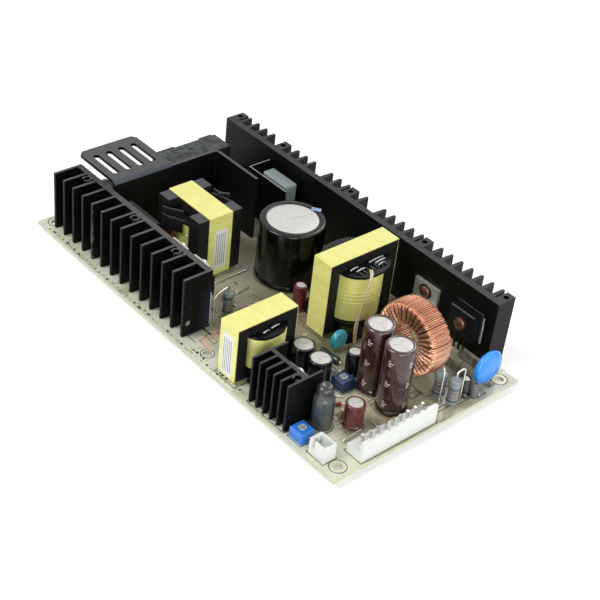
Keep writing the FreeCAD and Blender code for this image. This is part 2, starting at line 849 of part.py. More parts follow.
def make_device(x0, wide, high, thick, foot, tab_high, seat_y, side, hole_z):
    """A power device flat against a heatsink: moulded body, bare tab with its hole, three legs."""
    y0, y1 = sorted((seat_y, seat_y + side * thick))
    body = box(x0, x0 + wide, y0, y1, foot, foot + high - tab_high)
    face_y = seat_y + side * thick
    rim = [e for e in body.Edges if abs(e.BoundBox.YMin - face_y) + abs(e.BoundBox.YMax - face_y) < 0.01]
    pieces = []
    if tab_high:
        y0, y1 = sorted((seat_y, seat_y + side * tab_thick))
        pieces.append(box(x0, x0 + wide, y0, y1, foot + high - tab_high, foot + high))
    leg_y = seat_y + side * thick * 0.6
    for x, y in row(x0 + wide / 2, leg_y, 3, leg_pitch):
        pieces.append(box(x - leg_wide / 2, x + leg_wide / 2, y - leg_thick / 2, y + leg_thick / 2, deck, foot))
    hole = bar(x0 + wide / 2, seat_y - side, hole_z, device_hole, thick + 2, screw_sides, ACROSS * side)
    return union(body.makeChamfer(device_edge, rim), *pieces).cut(hole)


def make_screw(x, z, seat_y, side, shank):
    """A pan head screw along y: its head on the seat and its shank through the device."""
    r = screw_head_dia / 2
    head = turning(0, 0, [(r, 0), (r, screw_head_high * 0.6), (r * 0.7, screw_head_high)], screw_sides)
    screw = union(head, bar(0, 0, -shank, screw_dia, shank, screw_sides))
    screw.Placement = FreeCAD.Placement(V(x, seat_y, z), FreeCAD.Rotation(UP, ACROSS * side))
    return screw


def near_devices():
    """The bridge and the two switches, spread along the near heatsink beyond the bracket."""
    widths = (bridge_wide, small_device_wide, small_device_wide)
    free = near_end - wall_from_input - sum(widths)
    specs = []
    x = wall_from_input
    for k, (wide, share) in enumerate(zip(widths, near_gap_shares)):
        x += free * share
        if k:
            specs.append((x, wide, small_device_high, small_device_thick, switch_foot, small_device_tab,
                          small_device_screw_up))
        else:
            specs.append((x, wide, bridge_high, bridge_thick, bridge_foot, 0, bridge_screw_up))
        x += wide
    return specs


def device_row(specs, sink_y, side, base):
    """Devices on one heatsink face with their pads and screws, and where the screws go."""
    devices, pads, screws, places = [], [], [], []
    seat_y = sink_y + side * pad_thick
    for x0, wide, high, thick, foot, tab_high, hole_up in specs:
        x, z = x0 + wide / 2, foot + hole_up
        devices.append(make_device(x0, wide, high, thick, foot, tab_high, seat_y, side, z))
        y0, y1 = sorted((sink_y, seat_y))
        m = pad_margin
        pad = box(x0 - m, x0 + wide + m, y0, y1, foot - m, foot + high + m / 2)
        pads.append(pad.cut(bar(x, sink_y - side, z, device_hole, 2, screw_sides, ACROSS * side)))
        stack = tab_thick if tab_high else thick
        screws.append(make_screw(x, z, seat_y + side * stack, side, stack + pad_thick + base * 0.9))
        places.append((x, z))
    return devices, pads, screws, places


def drilled(sink, places, sink_y, side, base):
    """A heatsink with the holes that take its screws."""
    return less(sink, [bar(x, sink_y + side, z, screw_hole, base * 0.95 + 1, screw_sides, ACROSS * -side)
                       for x, z in places])


def make_film_capacitor():
    """A boxed film capacitor, rounded over all but its foot."""
    x, y = at(film_at)
    body = box(x, x + film_length, y, y + film_wide, deck, deck + film_high)
    return body.makeChamfer(film_round / 2, [e for e in body.Edges if e.BoundBox.ZMax > deck + 0.01])


def make_insulating_sheet():
    """A stiff sheet bent to an L between the film capacitor and the bulk capacitor."""
    x, y = at(insulation_at)
    t = insulation_thick
    return prism([(x, far_inner_y), (x, y), (x + insulation_reach, y), (x + insulation_reach, y + t),
                  (x + t, y + t), (x + t, far_inner_y)], deck, deck + insulation_height)


def make_line_capacitor():
    """A moulded block capacitor behind the bracket, with two raised ribs on its outer face."""
    x, y = at(line_cap_at)
    top = deck + line_cap_high
    far_y = y + line_cap_wide
    ribs = [box(x - line_cap_rib, x, y0, y1, deck, top - line_cap_rib_drop)
            for y0, y1 in ((y, y + near_rib_length), (far_y - far_rib_length, far_y))]
    return union(box(x, x + line_cap_length, y, far_y, deck, top), *ribs)


def make_fuse():
    """A tube fuse with its two end caps, and the two spring clips that grip the caps."""
    x, y = at(fuse_at)
    lift = deck + fuse_lift
    far_cap = fuse_length - fuse_cap_length
    fuse = union(bar(x, y, lift, fuse_glass_dia, fuse_length, small_sides, ALONG),
                 *[bar(x + a, y, lift, fuse_cap_dia, fuse_cap_length, small_sides, ALONG) for a in (0, far_cap)])
    clips = []
    reach = fuse_cap_dia / 2 + clip_wall
    for a in ((fuse_cap_length - clip_wide) / 2, far_cap + (fuse_cap_length - clip_wide) / 2):
        block = box(x + a, x + a + clip_wide, y - reach, y + reach, deck, lift + clip_grip)
        bore = bar(x, y, lift, fuse_cap_dia, fuse_length, small_sides, ALONG)
        mouth = box(x + a, x + a + clip_wide, y - clip_grip, y + clip_grip, lift, lift + clip_grip + 1)
        clips.append(less(block, [bore, mouth]))
    return fuse, Part.makeCompound(clips)


def make_bus_bars():
    """The two tinned strips that stand on edge beside the toroid."""
    far_x, far_y = at(far_bar_at)
    winding_y = toroid_at[1] + toroid_core_wide / 2 + toroid_wire * toroid_over_share
    near_x = board_length - near_bar_from_output
    near_y = winding_y + near_bar_share * (far_y - winding_y)
    return Part.makeCompound([
        box(far_x, far_x + far_bar_length, far_y, far_y + bar_thick, deck, deck + far_bar_high),
        box(near_x, near_x + near_bar_length, near_y, near_y + bar_thick, deck, deck + near_bar_high)])


def make_links():
    """Bare wire links bent like staples."""
    top = deck + link_height
    return Part.makeCompound([wire([(a[0], a[1], deck), (a[0], a[1], top), (b[0], b[1], top), (b[0], b[1], deck)],
                                   lead_dia)
                              for a, b in [map(at, link) for link in (header_link, middle_link, small_link)]])


def tail_places():
    """Where leads pass through the board: pairs under cans and discs, rows under bobbins and pins."""
    places = output_pins() + input_pins() + signal_pins()

    def pair(place, spread, turned=False):
        x, y = at(place)
        return row(x, y, 2, spread, turned)

    places += pair(bulk_at, bulk_dia / 3, True) + pair(rod_choke_at, rod_choke_dia * 0.55)
    for place in (output_cap_1_at, output_cap_2_at):
        places += pair(place, output_dia * can_leg_share)
    for place in (wide_cap_1_at, wide_cap_2_at):
        places += pair(place, wide_cap_dia * can_leg_share)
    for place in (small_cap_at, maroon_at, second_maroon_at, side_cap_at):
        places += pair(place, small_cap_dia * can_leg_share)
    places += pair(blue_disc_at, blue_disc_spread, True) + pair(teal_disc_at, teal_disc_spread, True)
    places += pair(thermistor_at, thermistor_spread)
    places += [at(place) for place in (resistor_1_at, resistor_1_lead, resistor_2_at, resistor_2_lead,
                                       resistor_3_at, resistor_3_lead)]
    for side in (-1, 1):
        x, y = at(choke_at)
        places += row(x, y + side * choke_depth * 0.4, 3, choke_notch / 4)
        x, y = at(main_at)
        places += row(x + side * (main_depth + main_reach) / 4, y, 5, main_length / 10, True)
        x, y = at(standby_at)
        places += row(x + side * (standby_depth + standby_reach) / 4, y, 4, standby_length / 9, True)
    x, y = at(line_cap_at)
    places += row(x + line_cap_length / 2, y + line_cap_wide / 2, 2, line_cap_wide * 0.7, True)
    x, y = at(film_at)
    return places + row(x + film_length / 2, y + film_wide / 2, 2, film_length * 0.8)


def make_tails():
    """The trimmed lead ends under the board, one for each lead."""
    return Part.makeCompound([post(x, y, tail_wide, -tail_drop, 0) for x, y in tail_places()])


nodes["circuit_board"] = make_board()
transistor_spec = (board_length - transistor_from_output, transistor_wide, transistor_high, far_device_thick,
                   transistor_foot, transistor_tab, transistor_screw_up)
rectifier_spec = (board_length - rectifier_from_output, rectifier_wide, rectifier_high, far_device_thick,
                  rectifier_foot, 0, rectifier_screw_up)
standby_spec = (board_length - standby_device_from_output, small_device_wide, small_device_high,
                small_device_thick, standby_device_foot, small_device_tab, small_device_screw_up)
near_row = device_row(near_devices(), near_inner_y, 1, near_base_thick)
far_row = device_row((transistor_spec, rectifier_spec), far_inner_y, -1, far_base_thick)
small_row = device_row((standby_spec,), small_inner_y, 1, small_base_thick)
nodes["left_heatsink"] = drilled(make_near_heatsink(), near_row[3], near_inner_y, 1, near_base_thick)
nodes["right_heatsink"] = drilled(make_far_heatsink(), far_row[3], far_inner_y, -1, far_base_thick)
nodes["small_heatsink"] = drilled(make_small_heatsink(), small_row[3], small_inner_y, 1, small_base_thick)
nodes["bridge_rectifier"] = near_row[0][0]
nodes["switching_transistors"] = Part.makeCompound(near_row[0][1:])
nodes["output_transistor"], nodes["output_rectifier"] = far_row[0]
nodes["standby_device"] = small_row[0][0]
nodes["device_pads"] = Part.makeCompound(near_row[1] + far_row[1] + small_row[1])
nodes["device_screws"] = Part.makeCompound(near_row[2] + far_row[2] + small_row[2])
nodes["slotted_bracket"] = make_bracket()
main_parts = make_transformer(main_length, main_depth, main_height, main_post, main_yoke, main_leg,
                              main_reach, True)
standby_parts = make_transformer(standby_length, standby_depth, standby_height, standby_post, standby_yoke,
                                 standby_leg, standby_reach, False)
for name, place, angle, shapes in (("choke", choke_at, 0, make_choke()), ("main", main_at, 90, main_parts),
                                   ("standby", standby_at, 90, standby_parts)):
    for piece, shape in zip(("core", "bobbin", "winding", "tape"), shapes):
        shape.rotate(V(0, 0, 0), UP, angle)
        shape.translate(V(*at(place), deck))
        nodes[name + "_" + piece] = shape
nodes["main_leads"] = make_main_leads()
nodes["toroid_core"], nodes["toroid_winding"] = make_toroid()
nodes["bulk_capacitor_can"], nodes["bulk_capacitor_sleeve"] = make_can(bulk_at, bulk_dia, bulk_height, bulk_sides)
for k, place in enumerate((output_cap_1_at, output_cap_2_at)):
    can, sleeve = make_can(place, output_dia, output_height, output_sides)
    nodes["output_capacitor_can_%d" % (k + 1)] = can
    nodes["output_capacitor_sleeve_%d" % (k + 1)] = sleeve
nodes["small_capacitors"] = Part.makeCompound(
    [make_small_can(wide_cap_1_at, wide_cap_dia, wide_cap_height),
     make_small_can(wide_cap_2_at, wide_cap_dia, wide_cap_height),
     make_small_can(small_cap_at, small_cap_dia, small_cap_height)])
nodes["side_capacitor"] = make_small_can(side_cap_at, side_cap_dia, side_cap_height)
nodes["maroon_capacitor"] = make_small_can(maroon_at, maroon_dia, maroon_height)
nodes["second_maroon_capacitor"] = make_small_can(second_maroon_at, second_maroon_dia, second_maroon_height)
nodes["rod_choke"] = make_rod_choke()
nodes["voltage_trimmer_case"], nodes["voltage_trimmer_rotor"] = make_trimmer(voltage_trimmer_at)
nodes["limit_trimmer_case"], nodes["limit_trimmer_rotor"] = make_trimmer(limit_trimmer_at)
nodes["blue_disc_capacitor"] = make_disc(blue_disc_at, blue_disc_dia, blue_disc_thick, blue_disc_lift,
                                         blue_disc_spread)
nodes["teal_disc_capacitor"] = make_disc(teal_disc_at, teal_disc_dia, teal_disc_thick, teal_disc_lift,
                                         teal_disc_spread)
nodes["inrush_thermistor"] = make_disc(thermistor_at, thermistor_dia, thermistor_thick, thermistor_lift,
                                       thermistor_spread, True)
nodes["resistor_1"] = make_resistor(resistor_1_at, resistor_1_lead, resistor_1_dia, resistor_1_high)
nodes["resistor_2"] = make_resistor(resistor_2_at, resistor_2_lead, resistor_2_dia, resistor_2_high)
nodes["resistor_3"] = make_resistor(resistor_3_at, resistor_3_lead, resistor_3_dia, resistor_3_high)
nodes["output_header_housing"] = make_output_header()
nodes["signal_header_housing"] = make_signal_header()
input_length = 2 * (input_ways - 1) * output_pitch + 2 * output_margin
nodes["input_header_housing"] = make_row_header(input_at[0], input_at[1], input_length, input_at[0], input_pins())
nodes["header_pins"] = make_pins()
nodes["film_capacitor"] = make_film_capacitor()
nodes["insulating_sheet"] = make_insulating_sheet()
nodes["line_filter_capacitor"] = make_line_capacitor()
nodes["input_fuse"], nodes["fuse_clips"] = make_fuse()
nodes["output_bus_bars"] = make_bus_bars()
nodes["jumper_wires"] = make_links()
nodes["solder_tails"] = make_tails()

os.makedirs("parts", exist_ok=True)
for name, shape in nodes.items():
    shape.translate(V(-board_length / 2, -board_width / 2, 0))
    shape.exportStep("parts/" + name + ".step")
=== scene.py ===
import bmesh
import bpy
import math
import random
from mathutils import Matrix, Vector


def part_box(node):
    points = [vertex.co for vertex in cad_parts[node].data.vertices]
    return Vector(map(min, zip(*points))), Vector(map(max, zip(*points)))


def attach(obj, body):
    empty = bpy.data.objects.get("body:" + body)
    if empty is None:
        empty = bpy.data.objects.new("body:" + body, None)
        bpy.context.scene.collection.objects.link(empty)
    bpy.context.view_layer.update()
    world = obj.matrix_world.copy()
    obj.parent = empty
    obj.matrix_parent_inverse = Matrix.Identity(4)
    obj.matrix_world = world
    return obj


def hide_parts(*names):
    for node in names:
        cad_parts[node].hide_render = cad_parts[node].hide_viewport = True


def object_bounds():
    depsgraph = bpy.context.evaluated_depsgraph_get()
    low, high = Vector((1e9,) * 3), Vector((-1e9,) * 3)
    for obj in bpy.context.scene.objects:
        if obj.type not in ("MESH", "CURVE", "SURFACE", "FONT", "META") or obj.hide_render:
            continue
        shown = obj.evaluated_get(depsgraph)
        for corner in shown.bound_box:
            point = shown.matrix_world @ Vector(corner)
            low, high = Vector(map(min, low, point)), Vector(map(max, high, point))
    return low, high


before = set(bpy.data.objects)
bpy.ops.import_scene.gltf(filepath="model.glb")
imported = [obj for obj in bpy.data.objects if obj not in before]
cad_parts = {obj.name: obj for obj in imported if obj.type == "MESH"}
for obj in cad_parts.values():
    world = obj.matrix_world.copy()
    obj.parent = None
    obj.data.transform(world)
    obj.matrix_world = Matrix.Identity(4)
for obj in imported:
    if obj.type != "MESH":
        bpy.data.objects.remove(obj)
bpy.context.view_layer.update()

random.seed(41)


# Circuit board: a laminate of glass and paper under a pale green lacquer. Its copper shows through
# as faint fields, flux has stained it, its sawn edges are bare laminate, and painted shade darkens its middle.
mm = 0.001


def tone(red, green, blue):
    """A colour as seen in the photograph, 0 to 255, as the shader wants it."""
    linear = [((v / 255 + 0.055) / 1.055) ** 2.4 if v > 10 else v / 3294 for v in (red, green, blue)]
    return (*linear, 1.0)


def add(owner, kind, settings=(), inputs=(), links=()):
    """One shader node of a material or a world: its settings, its constants and what feeds it."""
    tree = owner.node_tree
    node = tree.nodes.new("ShaderNode" + kind)
    for key, value in dict(settings).items():
        setattr(node, key, value)
    for key, value in dict(inputs).items():
        node.inputs[key].default_value = value
    for key, source in dict(links).items():
        tree.links.new(source, node.inputs[key])
    return node


def feed(made, source, key):
    """Leads a value or a colour into the material's shader."""
    made.node_tree.links.new(source, made.node_tree.nodes["Principled BSDF"].inputs[key])


def mixed(made, share, first, second):
    """The first colour turning into the second by a share; either is a colour or a socket."""
    node = add(made, "Mix", {"data_type": "RGBA"}, links={"Factor": share})
    for key, value in (("A", first), ("B", second)):
        socket = [s for s in node.inputs if s.name == key and s.type == "RGBA"][0]
        if isinstance(value, tuple):
            socket.default_value = tone(*value)
        else:
            made.node_tree.links.new(value, socket)
    return [s for s in node.outputs if s.type == "RGBA"][0]


def recolour(made, share, colour):
    """Lays a colour over a material where a share is 1."""
    under = made.node_tree.nodes["Principled BSDF"].inputs["Base Color"].links[0].from_socket
    feed(made, mixed(made, share, under, colour), "Base Color")


def coords(made, kind="Object"):
    """The material's place on its own piece, or with the kind Normal the way its surface faces."""
    return made.node_tree.nodes["coords"].outputs[kind]


def axes(made, kind="Object"):
    """The X, Y and Z of such a coordinate."""
    return add(made, "SeparateXYZ", links={0: coords(made, kind)}).outputs


def upward(made):
    """How far a surface faces up, from 1 on top to -1 underneath."""
    return axes(made, "Normal")["Z"]


def above(made, source, limit, kind="GREATER_THAN"):
    """1 where a value is above a limit."""
    return add(made, "Math", {"operation": kind}, {1: limit}, {0: source}).outputs[0]


def below(made, source, limit):
    return above(made, source, limit, "LESS_THAN")


def within(made, source, low, high):
    """1 where a value lies between two limits."""
    middle, half = (low + high) / 2, (high - low) / 2
    return add(made, "Math", {"operation": "COMPARE"}, {1: middle, 2: half}, {0: source}).outputs[0]


def product(made, *shares):
    """Where all of some shares hold."""
    total = shares[0]
    for share in shares[1:]:
        total = add(made, "Math", {"operation": "MULTIPLY"}, links={0: total, 1: share}).outputs[0]
    return total


def ramp(made, source, low, high, start=0.0, end=1.0):
    """A value that goes from start to end while its source goes from low to high."""
    limits = {"From Min": low, "From Max": high, "To Min": start, "To Max": end}
    return add(made, "MapRange", inputs=limits, links={"Value": source}).outputs[0]


def clouds(made, scale, detail, roughness=0.5, vector=None):
    """Noise over the piece's own coordinates."""
    return add(made, "TexNoise", inputs={"Scale": scale, "Detail": detail, "Roughness": roughness},
               links={"Vector": vector or coords(made)}).outputs[0]


def surface(name, dark, light, rough, metal=0.0, grain=900.0, stretch=(1, 1, 1), relief=0.02, coat=0.0,
            spread=0.12, shine=0.5, more=()):
    """A material whose colour, gloss and relief (in mm) all vary with one grain."""
    made = bpy.data.materials.new(name)
    made.use_nodes = True
    constants = {"Metallic": metal, "Specular IOR Level": shine, "Coat Weight": coat, "Coat Roughness": 0.12}
    for key, value in {**constants, **dict(more)}.items():
        made.node_tree.nodes["Principled BSDF"].inputs[key].default_value = value
    add(made, "TexCoord", {"name": "coords"})
    place = add(made, "Mapping", inputs={"Scale": stretch}, links={"Vector": coords(made)})
    noise = clouds(made, grain, 5.0, 0.6, place.outputs[0])
    feed(made, mixed(made, ramp(made, noise, 0.3, 0.7), dark, light), "Base Color")
    feed(made, ramp(made, noise, 0.0, 1.0, max(0.02, rough - spread), min(1.0, rough + spread)), "Roughness")
    bump = add(made, "Bump", inputs={"Strength": 0.35, "Distance": relief * mm}, links={"Height": noise})
    feed(made, bump.outputs[0], "Normal")
    return made


def dress(material, *nodes):
    """Gives carried-over CAD nodes their material."""
    for node in nodes:
        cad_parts[node].data.materials.clear()
        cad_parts[node].data.materials.append(material)


laminate = surface("lacquered_laminate", (208, 212, 190), (228, 231, 212), 0.34, grain=1500, relief=0.01,
                   coat=0.3)
depth = axes(laminate)["Y"]
field_sizes = {"Scale": 70.0, "Randomness": 0.9}
fields = add(laminate, "TexVoronoi", {"distance": "CHEBYCHEV"}, field_sizes, {"Vector": coords(laminate)})
copper_field = add(laminate, "SeparateColor", links={0: fields.outputs["Color"]}).outputs[0]
recolour(laminate, above(laminate, copper_field, 0.55), (212, 215, 192))
gaps = add(laminate, "TexVoronoi", {"feature": "DISTANCE_TO_EDGE"}, field_sizes,
           {"Vector": coords(laminate)})
recolour(laminate, below(laminate, gaps.outputs["Distance"], 0.016), (186, 192, 164))
flux_stain = ramp(laminate, clouds(laminate, 34.0, 4.0), 0.44, 0.70, 0, 0.7)
# Painted shade: the flux stain is made stronger towards the board's middle.
inward_shade = ramp(laminate, depth, -46 * mm, -26 * mm, 0.25)
recolour(laminate, product(laminate, flux_stain, inward_shade), (160, 146, 112))
# Painted shade: the laminate is browned towards the middle, away from the near edge.
recolour(laminate, ramp(laminate, depth, -44 * mm, -20 * mm, 0, 0.42), (180, 168, 138))
# Painted shade: a dark brown pool round the middle of the board, among the parts.
shaded_middle = (18 * mm, 6 * mm, 0)
shade_distance = add(laminate, "VectorMath", {"operation": "DISTANCE"}, {1: shaded_middle}, {0: coords(laminate)})
recolour(laminate, ramp(laminate, shade_distance.outputs["Value"], 18 * mm, 56 * mm, 0.78, 0), (112, 103, 78))
recolour(laminate, below(laminate, upward(laminate), -0.5), (126, 150, 88))
recolour(laminate, within(laminate, upward(laminate), -0.5, 0.5), (204, 204, 176))
dress(laminate, "circuit_board")


# Board print: dark ink printed on the lacquer as an outline round each part, a ring round each screw
# hole, and short ticks along the near edge. The screw holes and many small holes have tinned pads.
def deselect():
    if bpy.context.object and bpy.context.object.mode != "OBJECT":
        bpy.ops.object.mode_set(mode="OBJECT")
    bpy.ops.object.select_all(action="DESELECT")


def choose(piece):
    """Selects one piece alone."""
    deselect()
    piece.select_set(True)
    bpy.context.view_layer.objects.active = piece


def edit(piece):
    """Opens a piece in edit mode with all of it selected."""
    choose(piece)
    bpy.ops.object.mode_set(mode="EDIT")
    bpy.ops.mesh.select_mode(type="FACE")
    bpy.ops.mesh.select_all(action="SELECT")


def bake():
    """Puts the place, turn and scale of what is selected into its mesh."""
    bpy.ops.object.transform_apply(location=True, rotation=True, scale=True)
    return bpy.context.object


def closed():
    """Turns the faces of the piece in edit mode outwards and leaves edit mode."""
    bpy.ops.mesh.select_all(action="SELECT")
    bpy.ops.mesh.normals_make_consistent(inside=False)
    bpy.ops.object.mode_set(mode="OBJECT")
    return bake()


def extrude(rise):
    bpy.ops.mesh.extrude_region_move(TRANSFORM_OT_translate={"value": (0, 0, rise)})


def joined(parts):
    """Makes one piece of several."""
    choose(parts[0])
    for part in parts:
        part.select_set(True)
    bake()
    bpy.ops.object.join()
    return bpy.context.object


def settle(piece, name, material, slot, replaces=(), angle=35):
    """Names a finished piece, or one joined from a list, and joins it to the frame."""
    if isinstance(piece, list):
        piece = joined(piece)
    choose(piece)
    bake()
    bpy.ops.object.shade_smooth_by_angle(angle=math.radians(angle))
    piece.name = name
    piece.data.name = name
    piece.data.materials.clear()
    piece.data.materials.append(material)
    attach(piece, "supply")
    if replaces:
        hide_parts(*replaces)


def measured(node):
    """A CAD node's low and high corners, its middle and its size."""
    low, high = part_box(node)
    return low, high, (low + high) / 2, high - low


half_long, half_wide = 101.6, 50.8
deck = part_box("circuit_board")[1].z
ink_wide, ink_thick = 0.36 * mm, 0.03 * mm


def at(x, y):
    """A place on the board, given in millimetres from its near input corner."""
    return (x - half_long) * mm, (y - half_wide) * mm


def printed(x, y, wide, deep, line=ink_wide, sides=4, z=deck, thick=ink_thick):
    """A thin line round a rectangle or a circle, or a solid bar where the line is 0."""
    deselect()
    if sides == 4:
        bpy.ops.mesh.primitive_plane_add(size=1, location=(x, y, z))
        bpy.context.object.scale = (wide, deep, 1)
    else:
        bpy.ops.mesh.primitive_circle_add(vertices=sides, radius=wide / 2, fill_type="NGON",
                                          location=(x, y, z))
    edit(bake())
    if line:
        bpy.ops.mesh.inset(thickness=line, depth=0)
        bpy.ops.mesh.delete(type="FACE")
        bpy.ops.mesh.select_all(action="SELECT")
    extrude(thick)
    return closed()


def outline(x0, y0, x1, y1, line=ink_wide):
    """A printed rectangle between two corners, in the board's millimetres."""
    return printed(*at((x0 + x1) / 2, (y0 + y1) / 2), (x1 - x0) * mm, (y1 - y0) * mm, line)


def bar(x, y, wide, deep, thick=ink_thick):
    """A printed bar round a place, in the board's millimetres."""
    return printed(*at(x, y), wide * mm, deep * mm, 0, thick=thick)


def scattered(fields):
    """Random places in some fields of the board, each given by its corners and a count."""
    for x0, y0, x1, y1, count in fields:
        for k in range(count):
            yield k, random.uniform(x0, x1), random.uniform(y0, y1)


marks = []
for node, grow in (
        ("choke_core", 3.2), ("main_core", 2.8), ("standby_core", 2.8), ("film_capacitor", 2.0),
        ("voltage_trimmer_case", 1.4), ("limit_trimmer_case", 1.4), ("output_header_housing", 1.6),
        ("signal_header_housing", 1.4), ("toroid_winding", 2.4), ("small_heatsink", 1.2)):
    low, high, mid, size = measured(node)
    marks.append(printed(mid.x, mid.y, size.x + grow * mm, size.y + grow * mm))
for node in ("bulk_capacitor_sleeve", "output_capacitor_sleeve_1", "output_capacitor_sleeve_2",
             "maroon_capacitor", "second_maroon_capacitor", "side_capacitor", "rod_choke"):
    low, high, mid, size = measured(node)
    marks.append(printed(mid.x, mid.y, size.x + 1.2 * mm, 0, sides=48))
corner_holes = [(x, y) for x in (5.08, 198.12) for y in (6.35, 95.25)]
hole_rings = [(hole, 7.4) for hole in corner_holes] + [((118.6, 6.35), 6.2)]
marks += [printed(*at(*hole), dia * mm, 0, sides=40) for hole, dia in hole_rings]
low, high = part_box("output_header_housing")
for k in range(6):
    marks.append(printed(low.x - 1.6 * mm, low.y + (3.0 + k * 6.2) * mm, 0.9 * mm, 2.2 * mm, 0))
marks += [bar(196.4, 54.6, 0.36, 30.0), bar(198.0, 54.6, 0.36, 33.0), bar(197.2, 71.0, 2.0, 0.36)]
for k in range(40):
    marks.append(bar(8.6 + k * 3.3 + random.uniform(-0.6, 0.6), 1.4 + random.uniform(-0.4, 0.4),
                     random.choice((0.7, 1.3, 1.9)), random.choice((0.3, 0.9))))
for k in range(30):
    marks.append(bar(112.0 + k * 2.1 + random.uniform(-0.5, 0.5), 2.9 + random.uniform(-0.3, 0.5),
                     random.choice((0.4, 0.9, 1.4)), random.choice((0.25, 0.6, 1.1))))
for k, x, y in scattered(((74, 12, 132, 48, 26), (100, 44, 122, 68, 14), (140, 20, 198, 46, 34),
                          (150, 52, 196, 62, 16), (186, 62, 201, 96, 12), (12, 12, 50, 46, 12),
                          (150, 76, 198, 96, 16))):
    if k % 4 == 0:
        wide, deep = random.choice(((6.4, 2.4), (2.4, 6.4), (3.4, 1.8)))
        marks.append(outline(x - wide / 2, y - deep / 2, x + wide / 2, y + deep / 2, 0.28 * mm))
    elif k % 4 == 1:
        marks += [bar(x + j * 0.9, y, 0.5, random.choice((0.7, 1.1))) for j in range(3)]
    elif k % 4 == 2:
        marks.append(bar(x, y, random.uniform(2.0, 5.0), 0.3))
    else:
        marks.append(bar(x, y, 0.3, random.uniform(2.0, 5.0)))
marks += [bar(107.1, 14.9, 6.0, 0.9), bar(104.9, 10.4, 0.36, 8.0), bar(107.6, 6.6, 5.4, 0.36),
          outline(189.9, 79.4, 201.0, 84.6), outline(191.4, 87.6, 199.4, 92.0, 0.3 * mm)]
board_ink = surface("board_ink", (36, 46, 34), (60, 72, 54), 0.55, grain=3000, relief=0.004)
settle(marks, "board_print", board_ink, "laminate")

pads = []
for hole in corner_holes:
    for dia, line, z in ((6.2, 1.1, deck), (7.8, 1.9, -ink_thick * 2)):
        pads.append(printed(*at(*hole), dia * mm, 0, line * mm, 48, z, ink_thick * 1.4))
for k, x, y in scattered(((74, 12, 132, 48, 26), (140, 20, 198, 46, 30), (150, 52, 198, 62, 14),
                          (150, 78, 198, 96, 12))):
    pads.append(printed(*at(x, y), 1.9 * mm, 0, 0.6 * mm, 20, deck, ink_thick * 1.2))
tinned_pad = surface("tinned_pad", (176, 170, 142), (222, 218, 196), 0.34, metal=0.3, grain=1800,
                     relief=0.03)
settle(pads, "hole_pads", tinned_pad, "solder")

link_marks = [bar(*place, ink_thick * 2) for place in (
    (110.3, 13.4, 0.9, 10.0), (113.8, 8.6, 7.0, 0.9), (112.2, 14.0, 0.4, 7.0), (114.6, 10.4, 4.8, 0.4),
    (109.4, 18.6, 2.4, 1.6), (113.0, 19.2, 2.0, 1.4))]
pink_ink = surface("pink_ink", (206, 150, 124), (224, 176, 150), 0.5, grain=2500, relief=0.004)
settle(link_marks, "printed_link_marks", pink_ink, "laminate")


# Heatsinks: three black anodised aluminium extrusions, sawn to height, so their upright faces show
# the fine die lines and their sawn top ends are greyer. They are screwed and soldered to the board.
def anodised(node, name, dark, light, top):
    """Black anodising: die lines up its faces, sawn top ends in a paler tone, and a few scuffs."""
    made = surface(name, dark, light, 0.44, grain=2600, stretch=(1, 1, 0.03), spread=0.1, shine=0.12)
    recolour(made, above(made, upward(made), 0.6), top)
    recolour(made, ramp(made, clouds(made, 120.0, 9.0, 0.8), 0.68, 0.8, 0, 0.22), (92, 94, 96))
    dress(made, node)
    return made


near = anodised("left_heatsink", "near_anodising", (5, 5, 6), (14, 14, 15), (84, 84, 84))
anodised("right_heatsink", "far_anodising", (5, 6, 5), (13, 15, 12), (58, 59, 58))
anodised("small_heatsink", "small_anodising", (5, 5, 6), (14, 14, 15), (70, 70, 72))
low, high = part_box("left_heatsink")
place = axes(near)
fifth_fin = within(near, place["X"], -65.9 * mm, -62.9 * mm)
fin_tip = below(near, place["Y"], -46.2 * mm)
rubbed = ramp(near, clouds(near, 260.0, 8.0), 0.42, 0.66, 0, 0.55)
recolour(near, product(near, fifth_fin, fin_tip, rubbed), (118, 124, 122))
# Painted highlight: a bluish sheen over the lower inner part of the near heatsink's end face.
end_face = above(near, place["X"], high.x - 0.4 * mm)
lower = ramp(near, place["Z"], 26 * mm, 8 * mm)
inner = ramp(near, place["Y"], high.y - 7 * mm, high.y, 0, 0.7)
recolour(near, product(near, end_face, lower, inner), (58, 62, 78))
# Painted highlight: a pale glint along the inner edge of the end face.
glint_edge = above(near, place["Y"], high.y - 0.45 * mm)
low_down = within(near, place["Z"], 3 * mm, 19 * mm)
recolour(near, product(near, end_face, glint_edge, low_down), (196, 200, 222))


# Power devices: black epoxy mouldings, some with a tinned tab above them, held flat on mica pads by
# pan head screws. The moulding is matt with a faint sheen.
def moulded_epoxy(name):
    return surface(name, (8, 8, 9), (18, 18, 20), 0.36, grain=2400, relief=0.03, shine=0.22)


epoxy = moulded_epoxy("device_epoxy")
dress(epoxy, "bridge_rectifier", "output_rectifier")
for name, node, tab_tall in (("output_transistor_finish", "output_transistor", 9.2),
                             ("switching_finish", "switching_transistors", 6.2),
                             ("standby_device_finish", "standby_device", 6.2)):
    finish = moulded_epoxy(name)
    tab = above(finish, axes(finish)["Z"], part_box(node)[1].z - tab_tall * mm)
    recolour(finish, tab, (196, 196, 190))
    part_metal = add(finish, "Math", {"operation": "MULTIPLY"}, {1: 0.6}, {0: tab})
    feed(finish, part_metal.outputs[0], "Metallic")
    dress(finish, node)
dress(surface("mica", (60, 62, 64), (92, 94, 96), 0.5, grain=1200), "device_pads")


def profile(rows, r=0.0, foot=0.0):
    """Rings for the lathe, from rows in millimetres out from a radius and up from a height."""
    return [(r + out * mm, foot + up * mm) for out, up in rows]


